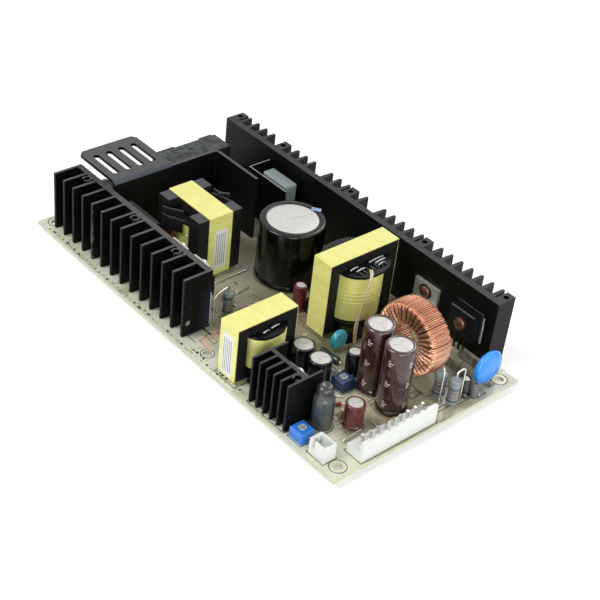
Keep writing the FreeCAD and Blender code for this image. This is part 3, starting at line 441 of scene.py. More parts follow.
def lathe(x, y, rings, sides=64):
    """A turned piece, drawn up ring by ring from its foot; a ring is its radius and height."""
    deselect()
    bpy.ops.mesh.primitive_circle_add(vertices=sides, radius=rings[0][0], fill_type="NGON",
                                      location=(x, y, rings[0][1]))
    edit(bpy.context.object)
    for (r0, z0), (r1, z1) in zip(rings, rings[1:]):
        extrude(z1 - z0)
        if r1 != r0:
            bpy.ops.transform.resize(value=(r1 / r0, r1 / r0, 1), center_override=(x, y, z1))
    return closed()


def block(x, y, z, wide, deep, high):
    """A rectangular blank, for cutters, ribs and labels."""
    deselect()
    bpy.ops.mesh.primitive_cube_add(size=1, location=(x, y, z), scale=(wide, deep, high))
    return bake()


def spun(degrees, axis):
    return Matrix.Rotation(math.radians(degrees), 4, axis)


def modify(piece, kind, **settings):
    """Adds a modifier and applies it."""
    choose(piece)
    made = piece.modifiers.new(kind.lower(), kind)
    for key, value in settings.items():
        setattr(made, key, value)
    bpy.ops.object.modifier_apply(modifier=made.name)


def carve(piece, cutter):
    modify(piece, "BOOLEAN", operation="DIFFERENCE", object=cutter, solver="EXACT")
    bpy.data.objects.remove(cutter)


def copied(piece, matrix):
    """A copy with its own mesh, moved in its mesh."""
    made = piece.copy()
    made.data = piece.data.copy()
    bpy.context.scene.collection.objects.link(made)
    made.data.transform(matrix)
    return made


def bodies_of(node):
    """The low and high corners of each body in a CAD node, from a merged copy of its mesh."""
    edit(copied(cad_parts[node], Matrix()))
    bpy.ops.mesh.remove_doubles(threshold=0.01 * mm)
    bpy.ops.mesh.separate(type="LOOSE")
    bpy.ops.object.mode_set(mode="OBJECT")
    bounds = []
    for part in list(bpy.context.selected_objects):
        spots = [v.co for v in part.data.vertices]
        bounds.append([Vector(limit(c[k] for c in spots) for k in range(3)) for limit in (min, max)])
        bpy.data.objects.remove(part)
    return sorted(bounds, key=lambda pair: tuple(pair[0]))


pan_head = lathe(0, 0, profile(((2.4, 0), (2.75, 0.25), (2.75, 0.8), (2.5, 1.3), (1.9, 1.62), (1.0, 1.78),
                                (0.3, 1.8))), 40)
for turn in (0, 90):
    recess = block(0, 0, 1.65 * mm, 3.0 * mm, 0.62 * mm, 1.3 * mm)
    modify(recess, "BEVEL", width=0.12 * mm, segments=1)
    recess.data.transform(spun(turn, "Z"))
    carve(pan_head, recess)
pan_head = joined([pan_head, lathe(0, 0, profile(((1.5, -1.4), (1.5, 0.1))), 24)])
washer = lathe(0, 0, profile(((3.4, 0.02), (3.5, 0.1), (3.5, 0.42), (3.2, 0.5))), 40)
near_screws, far_screws, washers = [], [], []
head_tall = 2.0 * mm
for low, high in bodies_of("device_screws"):
    mid = (low + high) / 2
    on_near_side = mid.y < 0
    seat = high.y - head_tall if on_near_side else low.y + head_tall
    way = Matrix.Translation((mid.x, seat, mid.z)) @ spun(-90 if on_near_side else 90, "X")
    screw = copied(pan_head, way @ Matrix.Rotation(random.uniform(0, 1.5), 4, "Z"))
    (near_screws if on_near_side else far_screws).append(screw)
    if not on_near_side:
        washers.append(copied(washer, way))
bpy.data.objects.remove(pan_head)
bpy.data.objects.remove(washer)
plated, bronzed, dark_washer = [
    surface(name, dark, light, rough, metal, 1500, relief=0.03) for name, dark, light, rough, metal in (
        ("plated_screw", (150, 146, 140), (204, 200, 192), 0.3, 0.85),
        ("bronzed_screw", (96, 66, 50), (160, 124, 104), 0.3, 0.8),
        ("dark_washer", (36, 28, 24), (64, 50, 42), 0.4, 0.4))]
settle(near_screws, "near_screw_heads", plated, "plated_screw", ["device_screws"])
settle(far_screws, "far_screw_heads", bronzed, "plated_screw")
settle(washers, "far_screw_washers", dark_washer, "plated_screw")


# Heatsink end and smear: two blind holes in the near heatsink's end, one of them filled bright, and
# the pale smear of set paste that stands beside the output rectifier.
low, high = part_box("left_heatsink")
for name, across, up, finish, slot in (("filled_end_hole", 6.5, 6.3, plated, "plated_screw"),
                                       ("blind_end_hole", 6.9, 13.9, epoxy, "black_anodised")):
    dimple = lathe(0, 0, profile(((1.15, -0.1), (1.15, 0.06), (0.8, 0.1), (0.5, 0.04))), 28)
    dimple.data.transform(Matrix.Translation((high.x, at(0, across)[1], deck + up * mm)) @ spun(90, "Y"))
    settle(dimple, name, finish, slot)


def pick(test):
    """Selects the faces of the piece in edit mode whose centre and normal pass a test."""
    bpy.ops.mesh.select_mode(type="FACE")
    bpy.ops.mesh.select_all(action="DESELECT")
    mesh = bmesh.from_edit_mesh(bpy.context.object.data)
    for face in mesh.faces:
        face.select = test(face.calc_center_median(), face.normal)
    mesh.select_flush(True)
    bmesh.update_edit_mesh(bpy.context.object.data)


def lumpy(piece, name, lump, strength, mid_level=0.5, direction="NORMAL"):
    """Pushes a surface in and out by soft clouds of a given size, in metres."""
    cloud = bpy.data.textures.new(name, "CLOUDS")
    cloud.noise_scale = lump
    modify(piece, "DISPLACE", texture=cloud, strength=strength, mid_level=mid_level, direction=direction,
           texture_coords="LOCAL")


low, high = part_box("output_rectifier")
smear = block(high.x + 1.1 * mm, high.y + 0.1 * mm, 15.0 * mm, 1.3 * mm, 0.5 * mm, 13.0 * mm)
edit(smear)
pick(lambda centre, normal: normal.z > 0.5)
bpy.ops.transform.resize(value=(0.35, 1, 1))
bpy.ops.object.mode_set(mode="OBJECT")
modify(smear, "BEVEL", width=0.2 * mm, segments=2)
modify(smear, "SUBSURF", levels=2, render_levels=2)
lumpy(smear, "paste_runs", 3 * mm, 0.5 * mm, direction="X")
paste = surface("set_paste", (150, 154, 140), (206, 208, 196), 0.45, grain=1300, relief=0.06)
settle(smear, "paste_smear", paste, "mica", angle=60)


# Slotted bracket: one sheet of steel, cut, folded twice and powder coated black, with a fine orange
# peel. Its grey top and near black walls and slot sides are painted light and shade, and a painted highlight
# runs along its folds.
coating = surface("bracket_coating", (68, 68, 69), (94, 94, 94), 0.5, grain=5200, relief=0.06, spread=0.15,
                  shine=0.16)
# Painted shade: the walls and slot sides are made near black under the grey top.
recolour(coating, within(coating, upward(coating), -0.5, 0.5), (6, 6, 7))
# Painted highlight: a blue grey band on the sloping faces of the folds.
recolour(coating, within(coating, upward(coating), 0.3, 0.9), (74, 78, 88))
dress(coating, "slotted_bracket")


# Ferrite cores and bobbins: sintered halves with ground faces, dark grey and slightly speckled,
# clamped by the tape round each pair over a moulded black bobbin.
def ferrite(name, dark, light, shine):
    return surface(name, dark, light, 0.5, grain=3400, relief=0.05, shine=shine)


grey_ferrite = ferrite("choke_ferrite", (44, 45, 47), (70, 71, 73), 0.4)
# Painted shade: the choke core's upright faces are made near black, darker than its grey top.
recolour(grey_ferrite, within(grey_ferrite, upward(grey_ferrite), -0.5, 0.5), (16, 16, 17))
dress(grey_ferrite, "choke_core")
dress(ferrite("dark_ferrite", (12, 12, 13), (26, 26, 27), 0.25), "main_core", "standby_core")
moulding = surface("bobbin_moulding", (6, 6, 7), (15, 15, 16), 0.3, grain=1400, relief=0.05, shine=0.25)
dress(moulding, "choke_bobbin", "main_bobbin", "standby_bobbin")


# Core tape: yellow polyester tape, wound tight round each core, over its top and both its ends.
# It is glossy, shows faint creases, and ends in a lap that stands a little proud.
def tape(name, across):
    """Yellow film; creases run across the band."""
    made = surface(name, (228, 226, 128), (240, 238, 148), 0.27, grain=260, stretch=across, relief=0.035,
                   coat=0.2, spread=0.08)
    recolour(made, ramp(made, clouds(made, 60.0, 3.0), 0.55, 0.8, 0, 0.35), (224, 218, 122))
    return made


dress(tape("choke_tape_film", (1, 0.25, 1)), "choke_tape")
wide_yellow = tape("transformer_tape_film", (0.25, 1, 1))
dress(wide_yellow, "main_tape", "standby_tape")
laps = []
lap_thick = 0.08 * mm
for node, along in (("main_tape", "y"), ("standby_tape", "y"), ("choke_tape", "x")):
    low, high, mid, size = measured(node)
    centre, tall = high.z * 0.56, high.z * 0.7
    if along == "y":
        lap = block(mid.x, high.y + lap_thick / 2, centre, size.x, lap_thick, tall)
    else:
        lap = block(low.x - lap_thick / 2, mid.y, centre, lap_thick, size.y, tall)
    modify(lap, "BEVEL", width=0.03 * mm, segments=2)
    laps.append(lap)
settle(laps, "tape_laps", wide_yellow, "yellow_tape", angle=50)


# Bare labels: plain white paper rectangles stuck on the tape of the choke and of the standby
# transformer. They are left blank but for a few ruled grey lines.
labels, rules = [], []
paper_thick, ink_proud, rule_wide = 0.08 * mm, 0.02 * mm, 0.28 * mm
line_places = [(k - 2) * 1.1 * mm for k in range(5)]
low, high, mid, size = measured("choke_tape")
y = mid.y + 0.4 * mm
labels.append(block(high.x + 0.05 * mm, y, 15.5 * mm, paper_thick, 6.6 * mm, 20 * mm))
rules += [block(high.x + 0.10 * mm, y + k, 15.5 * mm, ink_proud, rule_wide, 16 * mm) for k in line_places]
low, high, mid, size = measured("standby_tape")
x = mid.x - 0.2 * mm
labels.append(block(x, low.y - 0.05 * mm, 13.6 * mm, 6.4 * mm, paper_thick, 20 * mm))
rules += [block(x + k, low.y - 0.10 * mm, 13.6 * mm, rule_wide, ink_proud, 16 * mm) for k in line_places]
paper = surface("label_paper", (226, 228, 226), (240, 241, 238), 0.6, grain=2600, relief=0.01)
settle(labels, "blank_labels", paper, "yellow_tape")
rule_ink = surface("label_rules", (78, 80, 80), (118, 120, 120), 0.6, grain=4200, relief=0.004)
settle(rules, "label_rule_lines", rule_ink, "yellow_tape")


# Wrapped windings: many layers of enamelled wire on each bobbin, closed by wraps of the same yellow
# tape. The edges of the wraps show as shallow steps round each winding.
wrap_film = tape("winding_wrap_film", (1, 1, 0.2))
for node, edges in (("main_winding", (0.42, 0.50, 0.58, 0.66)), ("choke_winding", (0.3, 0.7))):
    low, high, mid, size = measured(node)
    r = size.x / 2 - 0.12 * mm
    rings = profile(((-1.2, 0), (-0.2, 0.3)), r, low.z)
    for share in edges:
        rings += profile(((0, -0.3), (-0.22, -0.08), (-0.22, 0.08), (0, 0.3)), r, low.z + size.z * share)
    rings += profile(((-0.05, -1.6), (-0.5, -0.5), (-1.4, 0)), r, high.z)
    settle(lathe(mid.x, mid.y, rings, 96), node + "_wrap", wrap_film, "wrapped_winding", [node])
low, high, mid, size = measured("standby_winding")
wrap = block(mid.x, mid.y, mid.z, size.x - 0.1 * mm, size.y - 0.1 * mm, size.z)
edit(wrap)
bpy.ops.mesh.select_mode(type="EDGE")
bpy.ops.mesh.select_all(action="DESELECT")
mesh = bmesh.from_edit_mesh(wrap.data)
for edge in mesh.edges:
    edge.select = abs(edge.verts[0].co.z - edge.verts[1].co.z) > size.z / 2
bmesh.update_edit_mesh(wrap.data)
bpy.ops.mesh.bevel(offset=size.y * 0.26, segments=14)
wrap_edges = [low.z + size.z * share for share in (0.3, 0.62)]
for z in wrap_edges:
    bpy.ops.mesh.select_all(action="SELECT")
    bpy.ops.mesh.bisect(plane_co=(0, 0, z), plane_no=(0, 0, 1))
    bpy.ops.mesh.bevel(offset=0.12 * mm, segments=1)
pick(lambda centre, normal: abs(normal.z) < 0.5 and wrap_edges[0] < centre.z < wrap_edges[1])
bpy.ops.transform.resize(value=(0.985, 0.985, 1), center_override=tuple(mid))
bpy.ops.object.mode_set(mode="OBJECT")
modify(wrap, "BEVEL", width=0.35 * mm, segments=2, limit_method="ANGLE", angle_limit=math.radians(50))
settle(wrap, "standby_winding_wrap", wrap_film, "wrapped_winding", ["standby_winding"])


# Bobbin trim: moulded ribs on the top flanges of the two transformers' bobbins, and bent guides at
# the choke's notches that lead its wires. All are moulded in black.
def drawn(points, order, fineness, **finish):
    """A curve through places in the board's millimetres, given its finish and made a mesh."""
    line = bpy.data.curves.new("line", "CURVE")
    line.dimensions = "3D"
    spline = line.splines.new("NURBS")
    spline.points.add(len(points) - 1)
    for point, (x, y, z) in zip(spline.points, points):
        point.co = (*at(x, y), z * mm, 1)
    spline.order_u, spline.resolution_u = order, fineness
    spline.use_endpoint_u = True
    for key, value in finish.items():
        setattr(line, key, value)
    made = bpy.data.objects.new("line", line)
    bpy.context.scene.collection.objects.link(made)
    choose(made)
    bpy.ops.object.convert(target="MESH")
    return bpy.context.object


def strip(points, foot, top, thick):
    """A bent upright strip that follows a plan line, drawn as a flat ribbon and given its wall."""
    made = drawn([(x, y, (foot + top) / 2) for x, y in points], 3, 8, extrude=(top - foot) / 2 * mm)
    modify(made, "SOLIDIFY", thickness=thick * mm, offset=0)
    modify(made, "BEVEL", width=0.12 * mm, segments=2, limit_method="ANGLE")
    return made


ribs = []
for node, pitch, count, reach in (("main_bobbin", 2.3, 3, 6.4), ("standby_bobbin", 2.0, 2, 3.4)):
    low, high, mid, size = measured(node)
    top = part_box(node.replace("bobbin", "winding"))[1].z + 1.3 * mm
    for x in (mid.x - reach * mm * 1.25, mid.x + reach * mm * 1.25):
        for k in range(-count, count + 1):
            rib = block(x, mid.y + k * pitch * mm, top, reach * mm, 0.5 * mm, 1.0 * mm)
            modify(rib, "BEVEL", width=0.14 * mm, segments=2)
            ribs.append(rib)
ribs += [strip(*guide) for guide in (
    (((56.9, 54.9), (60.2, 55.0), (62.4, 56.6), (63.6, 58.4)), 24.5, 31.2, 0.9),
    (((58.6, 52.4), (63.0, 54.4), (68.0, 55.2), (72.8, 55.8)), 26.0, 30.8, 1.0),
    (((61.4, 53.6), (62.0, 56.4), (64.8, 57.6)), 25.6, 31.6, 0.8),
    (((55.6, 28.4), (59.4, 29.8), (63.6, 33.6)), 26.0, 30.6, 1.0),
    (((57.0, 27.2), (61.0, 27.6), (64.6, 30.2), (66.8, 31.0)), 22.0, 28.4, 1.1))]
guide_finish = surface("guide_moulding", (18, 18, 20), (36, 37, 40), 0.26, grain=1500, relief=0.05)
settle(ribs, "bobbin_ribs_and_guides", guide_finish, "black_moulding", angle=40)


# Lead wires: tinned winding ends lie over the top flanges, two twisted cream insulated wires run
# down the main winding's face to the board, and the choke's brown ends leave its near notch.
def wire(points, dia, smooth=True):
    """A round wire along places in the board's millimetres."""
    return drawn(points, 3 if smooth else 2, 6, bevel_depth=dia / 2 * mm, bevel_resolution=2,
                 use_fill_caps=True)


def on_board(spot):
    """A point of the frame in the board's millimetres."""
    return spot.x / mm + half_long, spot.y / mm + half_wide, spot.z / mm


wire_ends = []
for node, places in (("main_bobbin", ((6.6, 1.0, 9.2), (8.3, 2.8, 8.6), (10.0, 3.2, 6.8), (6.8, -9.6, -5.2),
                                      (8.8, -7.8, -3.2))),
                     ("standby_bobbin", ((6.7, 0.4, 4.6), (7.4, -4.2, -1.0)))):
    x, y, z = on_board(measured(node)[2])
    top = on_board(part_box(node.replace("bobbin", "winding"))[1])[2] + 2.2
    for out, y0, y1 in places:
        bends = ((0, 0, -0.2), (0.2, 0.3, 0.2), (-0.1, 0.7, 0.1), (-0.3, 1, -0.2))
        wire_ends.append(wire([(x + out + dx, y + y0 * (1 - share) + y1 * share, top + dz)
                               for dx, share, dz in bends], 0.8))
cream = surface("cream_insulation", (196, 170, 130), (232, 212, 180), 0.32, grain=1800, coat=0.2)
end_metal = surface("winding_ends", (120, 122, 126), (196, 198, 200), 0.3, metal=0.6, grain=1600)
settle(wire_ends, "winding_end_wires", end_metal, "copper_wire", angle=60)
lead_path = ((143.6, 68.6, 34.0), (145.4, 67.6, 33.7), (146.6, 66.2, 32.2), (147.0, 64.6, 28.0),
             (147.2, 63.0, 22.0), (147.2, 61.6, 16.0), (147.0, 60.8, 11.0), (147.2, 60.9, 5.0),
             (147.4, 61.0, 1.7))
lead_dia, lead_apart = 0.74, 0.84
leads = []
for half_turn in (0, math.pi):
    twist = [lead_apart / 2 * math.cos(k * 0.5 + half_turn) for k in range(len(lead_path))]
    leads.append(wire([(x + sway * 0.4, y + sway, z) for sway, (x, y, z) in zip(twist, lead_path)],
                      lead_dia))
settle(leads, "main_winding_leads", cream, "cream_wire", ["main_leads"], angle=60)
brown = surface("brown_insulation", (70, 34, 24), (110, 58, 40), 0.35, grain=1600, relief=0.03)
choke_wires = [wire(points, 1.1) for points in (
    ((60.0, 33.4, 26.5), (58.0, 31.0, 27.5), (57.2, 29.0, 25.0), (57.6, 28.8, 16.0), (57.6, 29.4, 1.7)),
    ((62.5, 32.8, 26.0), (60.8, 30.0, 27.8), (59.6, 28.4, 24.0), (59.4, 28.8, 12.0), (60.2, 29.6, 1.7)),
    ((65.4, 32.9, 25.0), (63.6, 30.0, 26.4), (62.0, 28.6, 22.0), (62.4, 28.8, 12.0), (62.8, 29.6, 1.7)))]
settle(choke_wires, "choke_lead_wires", brown, "copper_wire", angle=60)


# Toroid: one continuous enamelled copper wire wound round a powder coated ring core. Its turns lie
# side by side on the outside and draw together in threes inside the ring, in three layers.
core_finish = surface("ring_core_coating", (66, 38, 26), (92, 54, 36), 0.5, grain=1500, relief=0.05)
dress(core_finish, "toroid_core")
low, high, mid, size = measured("toroid_winding")
x, y, z = on_board(mid)
turns, wire_dia = 112, 0.92
bore_r, outer_r, half_deep = 6.7, 15.66, 5.1
points = []
lean = 0
for k in range(turns):
    layer = k % 3
    bunch = (k // 3 * 3 + 1 - k) * 0.72
    inside = bore_r + 0.5 * layer
    outside = outer_r + 0.04 * layer + random.uniform(-0.05, 0.05)
    side = half_deep + (0.25 if layer == 1 else 0) + random.uniform(-0.06, 0.06)
    lean = random.uniform(-0.009, 0.009) if layer == 0 else lean
    upper = ((inside, 0.45), (inside + 0.4, 0.95), (inside + 2.6, 1.06), (outside - 2.4, 1.06),
             (outside - 0.1, 0.95), (outside + 0.22, 0.4))
    corners = [(inside, -side * 0.45)] + [(radius, side * share) for radius, share in upper]
    corners += [(radius, -side * share) for radius, share in reversed(upper[1:])]
    for j, (radius, across) in enumerate(corners):
        drawn_in = bunch * max(0.0, min(1.0, (outside - radius) / 4.0))
        angle = (k + j / len(corners) + drawn_in) * 2 * math.pi / turns + lean + math.pi * 0.55
        points.append((x + radius * math.cos(angle), y + across, z + radius * math.sin(angle)))
coil = [wire(path, wire_dia) for path in (points, ((176.0, 64.2, 4.2), (177.4, 63.4, 2.8), (177.8, 63.2, 1.7)),
                                          ((165.8, 63.6, 6.0), (164.6, 62.6, 4.0), (164.2, 62.4, 1.7)))]
copper = surface("enamelled_copper", (172, 96, 60), (255, 208, 172), 0.28, metal=0.7, stretch=(1, 0.08, 1),
                 coat=0.3, spread=0.08)
# Painted shade: the upper part of the winding is darkened to a deep red brown.
shaded_top = ramp(copper, axes(copper)["Z"], mid.z + 2 * mm, mid.z + 13 * mm, 0, 0.6)
recolour(copper, shaded_top, (132, 66, 36))
settle(coil, "toroid_wire", copper, "copper_wire", ["toroid_winding"], angle=70)


# Electrolytic capacitors: an aluminium can crimped onto a rubber bung near its foot, in a printed
# shrink sleeve that folds over its top edge, with a scored vent in the bare top.
lid_dip = 0.35 * mm


def sleeved(name, nodes, lip, finish, slot, sides=72):
    """The sleeve with its groove and its rolled top edge; gives the lid's place and size."""
    low, high, mid, size = measured(nodes[0])
    r, z1 = size.x / 2, max(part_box(node)[1].z for node in nodes)
    g = min(1.0, r / (6 * mm))
    rings = profile(((-0.5, 0), (-0.05, 0.4), (0, 1.4), (-0.15, 1.9), (-0.6 * g, 2.4), (-0.62 * g, 2.8),
                     (-0.15, 3.3), (0, 3.8)), r, low.z)
    rings += profile(((0, -1.2), (-0.12, -0.6), (-0.42 * g, -0.2), (-0.9 * g, 0)), r, z1)
    rings += [(r - lip + 0.25 * mm, z1), (r - lip, z1 - 0.1 * mm), (r - lip, z1 - lid_dip)]
    settle(lathe(mid.x, mid.y, rings, sides), name, finish, slot, nodes)
    return mid.x, mid.y, r - lip, z1 - lid_dip


def vented_lid(x, y, r, z, turn):
    """The bare top of the can, scored from the middle towards its edge so that it can vent."""
    lid = lathe(x, y, profile(((-0.02, -0.3), (-0.02, 0.12), (-0.3, 0.2)), r, z), 64)
    for angle in (turn, turn + 120, turn + 240):
        score = block(r * 0.42, 0, 0.16 * mm, r * 0.84, 0.26 * mm, 0.24 * mm)
        score.data.transform(Matrix.Translation((x, y, z)) @ spun(angle, "Z"))
        carve(lid, score)
    return lid


lid_metal = surface("can_top", (188, 187, 181), (218, 217, 211), 0.45, metal=0.1, grain=1700, relief=0.04)
bulk_sleeve = surface("bulk_sleeve", (6, 8, 5), (14, 17, 12), 0.16, grain=500, relief=0.03, coat=0.08,
                      spread=0.04, shine=0.3)
bulk_lid = sleeved("bulk_capacitor_body", ["bulk_capacitor_sleeve", "bulk_capacitor_can"], 3.2 * mm,
                   bulk_sleeve, "black_sleeve", 96)
lids = [vented_lid(*bulk_lid, 200)]
bars = ((0, 0.018, 0, 0.6), (0.010, 0.028, 1.1, 1.7), (-0.004, 0.012, 2.2, 2.7))
bar_ink = (186, 180, 178)
for k in (1, 2):
    nodes = ["output_capacitor_sleeve_%d" % k, "output_capacitor_can_%d" % k]
    low, high, mid, size = measured(nodes[0])
    finish = surface("output_sleeve_%d" % k, (46, 23, 20), (68, 37, 33), 0.14, grain=600, relief=0.03,
                     coat=0.5, spread=0.05)
    centred = add(finish, "Mapping", inputs={"Location": (-mid.x, -mid.y, -low.z)},
                  links={"Vector": coords(finish)}).outputs[0]
    radial = add(finish, "TexGradient", {"gradient_type": "RADIAL"}, links={"Vector": centred})
    height = add(finish, "SeparateXYZ", links={0: centred}).outputs["Z"]
    for turn in (0.06, 0.28, 0.50, 0.72, 0.86, 0.94):
        for z in (4.6, 14.6, 24.6):
            for shift, half, z0, z1 in bars:
                middle = turn + shift
                across = within(finish, radial.outputs["Fac"], middle - half, middle + half)
                along = within(finish, height, (z + z0) * mm, (z + z1) * mm)
                recolour(finish, product(finish, across, along), bar_ink)
    lid = sleeved("output_capacitor_body_%d" % k, nodes, 1.7 * mm, finish, "brown_sleeve")
    lids.append(vented_lid(*lid, 200 + 20 * k))
settle(lids, "vented_can_tops", lid_metal, "can_aluminium")
tab = block(0, 0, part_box("bulk_capacitor_sleeve")[1].z + 0.2 * mm, 4.4 * mm, 2.4 * mm, 0.4 * mm)
modify(tab, "BEVEL", width=0.15 * mm, segments=2)
tab.data.transform(Matrix.Translation((*at(94.0, 82.6), 0)) @ spun(38, "Z"))
tab_film = surface("lid_tab_film", (126, 146, 184), (150, 168, 204), 0.3, relief=0.04)
settle(tab, "lid_tab", tab_film, "black_sleeve")
small_sleeve = surface("small_sleeve", (10, 12, 18), (22, 24, 32), 0.14, grain=800, relief=0.03, coat=0.4,
                       spread=0.05)
maroon = surface("maroon_sleeve_film", (84, 26, 34), (108, 44, 50), 0.14, grain=800, relief=0.04, coat=0.4,
                 spread=0.05)


def small_can(low, high, turn, tops):
    """A small sleeved can between two corners; its bare top joins the others."""
    x, y, r = (low.x + high.x) / 2, (low.y + high.y) / 2, (high.x - low.x) / 2
    rings = profile(((-0.4, 0), (0, 0.4), (0, 1.0), (-0.45, 1.5), (0, 2.0)), r, low.z)
    rings += profile(((0, -0.8), (-0.15, -0.3), (-0.6, 0), (-0.95, 0), (-1.0, -0.3)), r, high.z)
    body = lathe(x, y, rings, 56)
    tops.append(vented_lid(x, y, r - 1.0 * mm, high.z - 0.3 * mm, turn))
    return body


tops = []
bodies = [small_can(*corners, 190, tops) for corners in bodies_of("small_capacitors")]
settle(bodies, "small_capacitor_bodies", small_sleeve, "black_sleeve", ["small_capacitors"])
for node, name, finish, slot in (("side_capacitor", "side_capacitor_body", small_sleeve, "black_sleeve"),
                                 ("maroon_capacitor", "maroon_capacitor_body", maroon, "maroon_sleeve"),
                                 ("second_maroon_capacitor", "second_maroon_body", maroon,
                                  "maroon_sleeve")):
    settle(small_can(*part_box(node), 170, tops), name, finish, slot, [node])
settle(tops, "small_can_tops", lid_metal, "can_aluminium")


# Rod choke: a wire wound rod in shrink tube, which has drawn in over the thinner end and wrinkled
# slightly round the shoulder. The tube is dark, smooth and a little glossy.
low, high, mid, size = measured("rod_choke")
r = size.x / 2
rings = profile(((-0.6, 0), (-0.1, 0.5), (0, 1.5), (-0.12, 4.0), (0, 7.0), (-0.08, 11.0), (0, 13.6),
                 (-0.3, 14.6), (-0.75, 15.3), (-0.95, 16.2)), r, low.z)
rings += profile(((-0.9, -2.2), (-1.1, -1.2), (-1.7, -0.5), (-2.6, -0.15), (-3.4, -0.3), (-4.2, -0.5)),
                 r, high.z)
tube = lathe(mid.x, mid.y, rings, 56)
modify(tube, "SUBSURF", levels=1, render_levels=1)
lumpy(tube, "tube_creases", 4 * mm, 0.18 * mm, 0.62)
shrink = surface("shrink_tube_film", (58, 63, 63), (74, 81, 81), 0.24, grain=420, relief=0.05, coat=0.3,
                 spread=0.08)
recolour(shrink, above(shrink, axes(shrink)["Z"], high.z - 3.2 * mm), (40, 42, 46))
settle(tube, "rod_choke_tube", shrink, "shrink_tube", ["rod_choke"], angle=80)


# Dipped discs: two ceramic capacitors and a thermistor, each a flat disc between two soldered legs,
# dipped in coloured epoxy that has run a little way down the legs.
def dipped(name, node, leg_axis, run_long, spread, finish, slot):
    """The coated disc with its runs, standing for a node; gives its two bare legs."""
    low, high, mid, size = measured(node)
    wide, thick = (size.y, size.x) if leg_axis == "y" else (size.x, size.y)
    r, half = wide / 2 - 0.05 * mm, thick / 2 - 0.05 * mm
    crown = ((0.30, 1), (0.62, 0.97), (0.82, 0.86), (0.94, 0.6), (0.99, 0.28))
    rings = [(r * out, -half * up) for out, up in crown] + [(r, 0)]
    rings += [(r * out, half * up) for out, up in reversed(crown)]
    disc = lathe(0, 0, rings, 64)
    modify(disc, "SUBSURF", levels=1, render_levels=1)
    lumpy(disc, name + "_lumps", 6 * mm, 0.5 * mm, 0.6)
    disc.data.transform(spun(90, "Y"))
    centre = Vector((mid.x, mid.y, high.z - r))
    coated, bare = [disc], []
    for y in (-spread / 2, spread / 2):
        root = -math.sqrt(max(0.0, r * r - y * y)) * 0.93
        run = ((0.4, -run_long), (0.62, -run_long * 0.6), (1.05, -0.1), (1.5, 1.1), (1.2, 2.4))
        coated.append(lathe(0, y, profile(run, 0, root), 24))
        bare.append(lathe(0, y, [(0.4 * mm, deck - centre.z), (0.4 * mm, root)], 16))
    for part in coated + bare:
        if leg_axis == "x":
            part.data.transform(spun(90, "Z"))
        part.data.transform(Matrix.Translation(centre))
    settle(coated, name, finish, slot, [node], angle=60)
    return bare


blue_dip = surface("blue_epoxy", (22, 130, 236), (56, 162, 255), 0.2, grain=420, relief=0.12, coat=0.2,
                   spread=0.05)
teal_dip = surface("teal_epoxy", (30, 140, 158), (56, 170, 186), 0.2, grain=500, relief=0.10, coat=0.4,
                   spread=0.05)
brown_dip = surface("brown_epoxy", (70, 46, 38), (98, 66, 54), 0.4, relief=0.08)
legs = dipped("blue_disc_body", "blue_disc_capacitor", "y", 1.9, 9.3 * mm, blue_dip, "disc_blue")
legs += dipped("teal_disc_body", "teal_disc_capacitor", "y", 1.2, 5.0 * mm, teal_dip, "disc_teal")
legs += dipped("thermistor_body", "inrush_thermistor", "x", 3.0, 9.0 * mm, brown_dip, "disc_brown")
tinned = surface("tinned_wire", (196, 194, 188), (228, 226, 220), 0.22, metal=0.9, grain=1400)
settle(legs, "disc_legs", tinned, "tinned_copper", angle=60)


# Leg sleeve: a short grey tube slipped over a leg of the part beside the blue disc, so that its
# body stands clear of the board.
tube_rings = profile(((1.35, 0), (1.5, 0.3), (1.5, 6.8), (1.25, 7.2), (0.7, 7.2), (0.6, 6.6)), 0, deck)
grey_tube = surface("grey_tube", (84, 86, 88), (112, 114, 116), 0.38, grain=1500, relief=0.03)
settle(lathe(*at(199.7, 78.0), tube_rings, 28), "leg_sleeve", grey_tube, "shrink_tube")


# Standing resistors: a ceramic rod between two pressed caps under blue grey lacquer, banded by
# colour, with the upper lead bent over into a loop and brought down beside it.
dark_band, red_band, pale_band = (46, 46, 50), (134, 84, 84), (158, 158, 150)
band_wide = 0.64 * mm
hole_z, loop_rise, lead_dia = 1.6, 3.0, 0.8
loops = []
for k, (x, y, r, tall, lead_x, lead_y, bands) in enumerate((
        (191.4, 65.9, 2.7, 12.0, 194.8, 63.0, (dark_band, red_band, dark_band, red_band, pale_band)),
        (198.1, 66.9, 2.55, 12.6, 198.1, 71.6, (dark_band, red_band, red_band, dark_band, pale_band)),
        (103.0, 28.5, 2.3, 11.0, 105.4, 19.2, (dark_band, red_band, red_band, pale_band, dark_band)))):
    node = "resistor_%d" % (k + 1)
    foot = deck + 1.2 * mm
    top = foot + tall * mm
    lacquer = surface(node + "_lacquer", (104, 114, 120), (136, 146, 150), 0.34, grain=1300,
                      relief=0.04, coat=0.15)
    height = axes(lacquer)["Z"]
    for band, colour in enumerate(bands):
        z = foot + (top - foot) * (0.2 + 0.15 * band)
        recolour(lacquer, within(lacquer, height, z - band_wide / 2, z + band_wide / 2), colour)
    cap = ((0.5, 0), (r * 0.72, 0.15), (r * 0.95, 0.5), (r, 1.1), (r, 2.4), (r * 0.9, 3.0))
    rings = profile(cap + ((r * 0.88, tall / 2),), 0, foot)
    rings += profile([(radius, -up) for radius, up in reversed(cap)], 0, top)
    settle(lathe(*at(x, y), rings, 48), node + "_body", lacquer, "resistor_lacquer", [node], angle=50)
    z = top / mm
    over = z + loop_rise
    crown = ((x + lead_x) / 2, (y + lead_y) / 2, over + 0.4)
    rising = [(x, y, height) for height in (z - 0.4, z + 1.6, over)]
    falling = [(lead_x, lead_y, height) for height in (over, z + 0.5, z - 6, hole_z)]
    loops.append(wire((*rising, crown, *falling), lead_dia))
    loops.append(wire(((x, y, hole_z), (x, y, 2.9)), lead_dia, False))
settle(loops, "resistor_leads", tinned, "tinned_copper", angle=60)


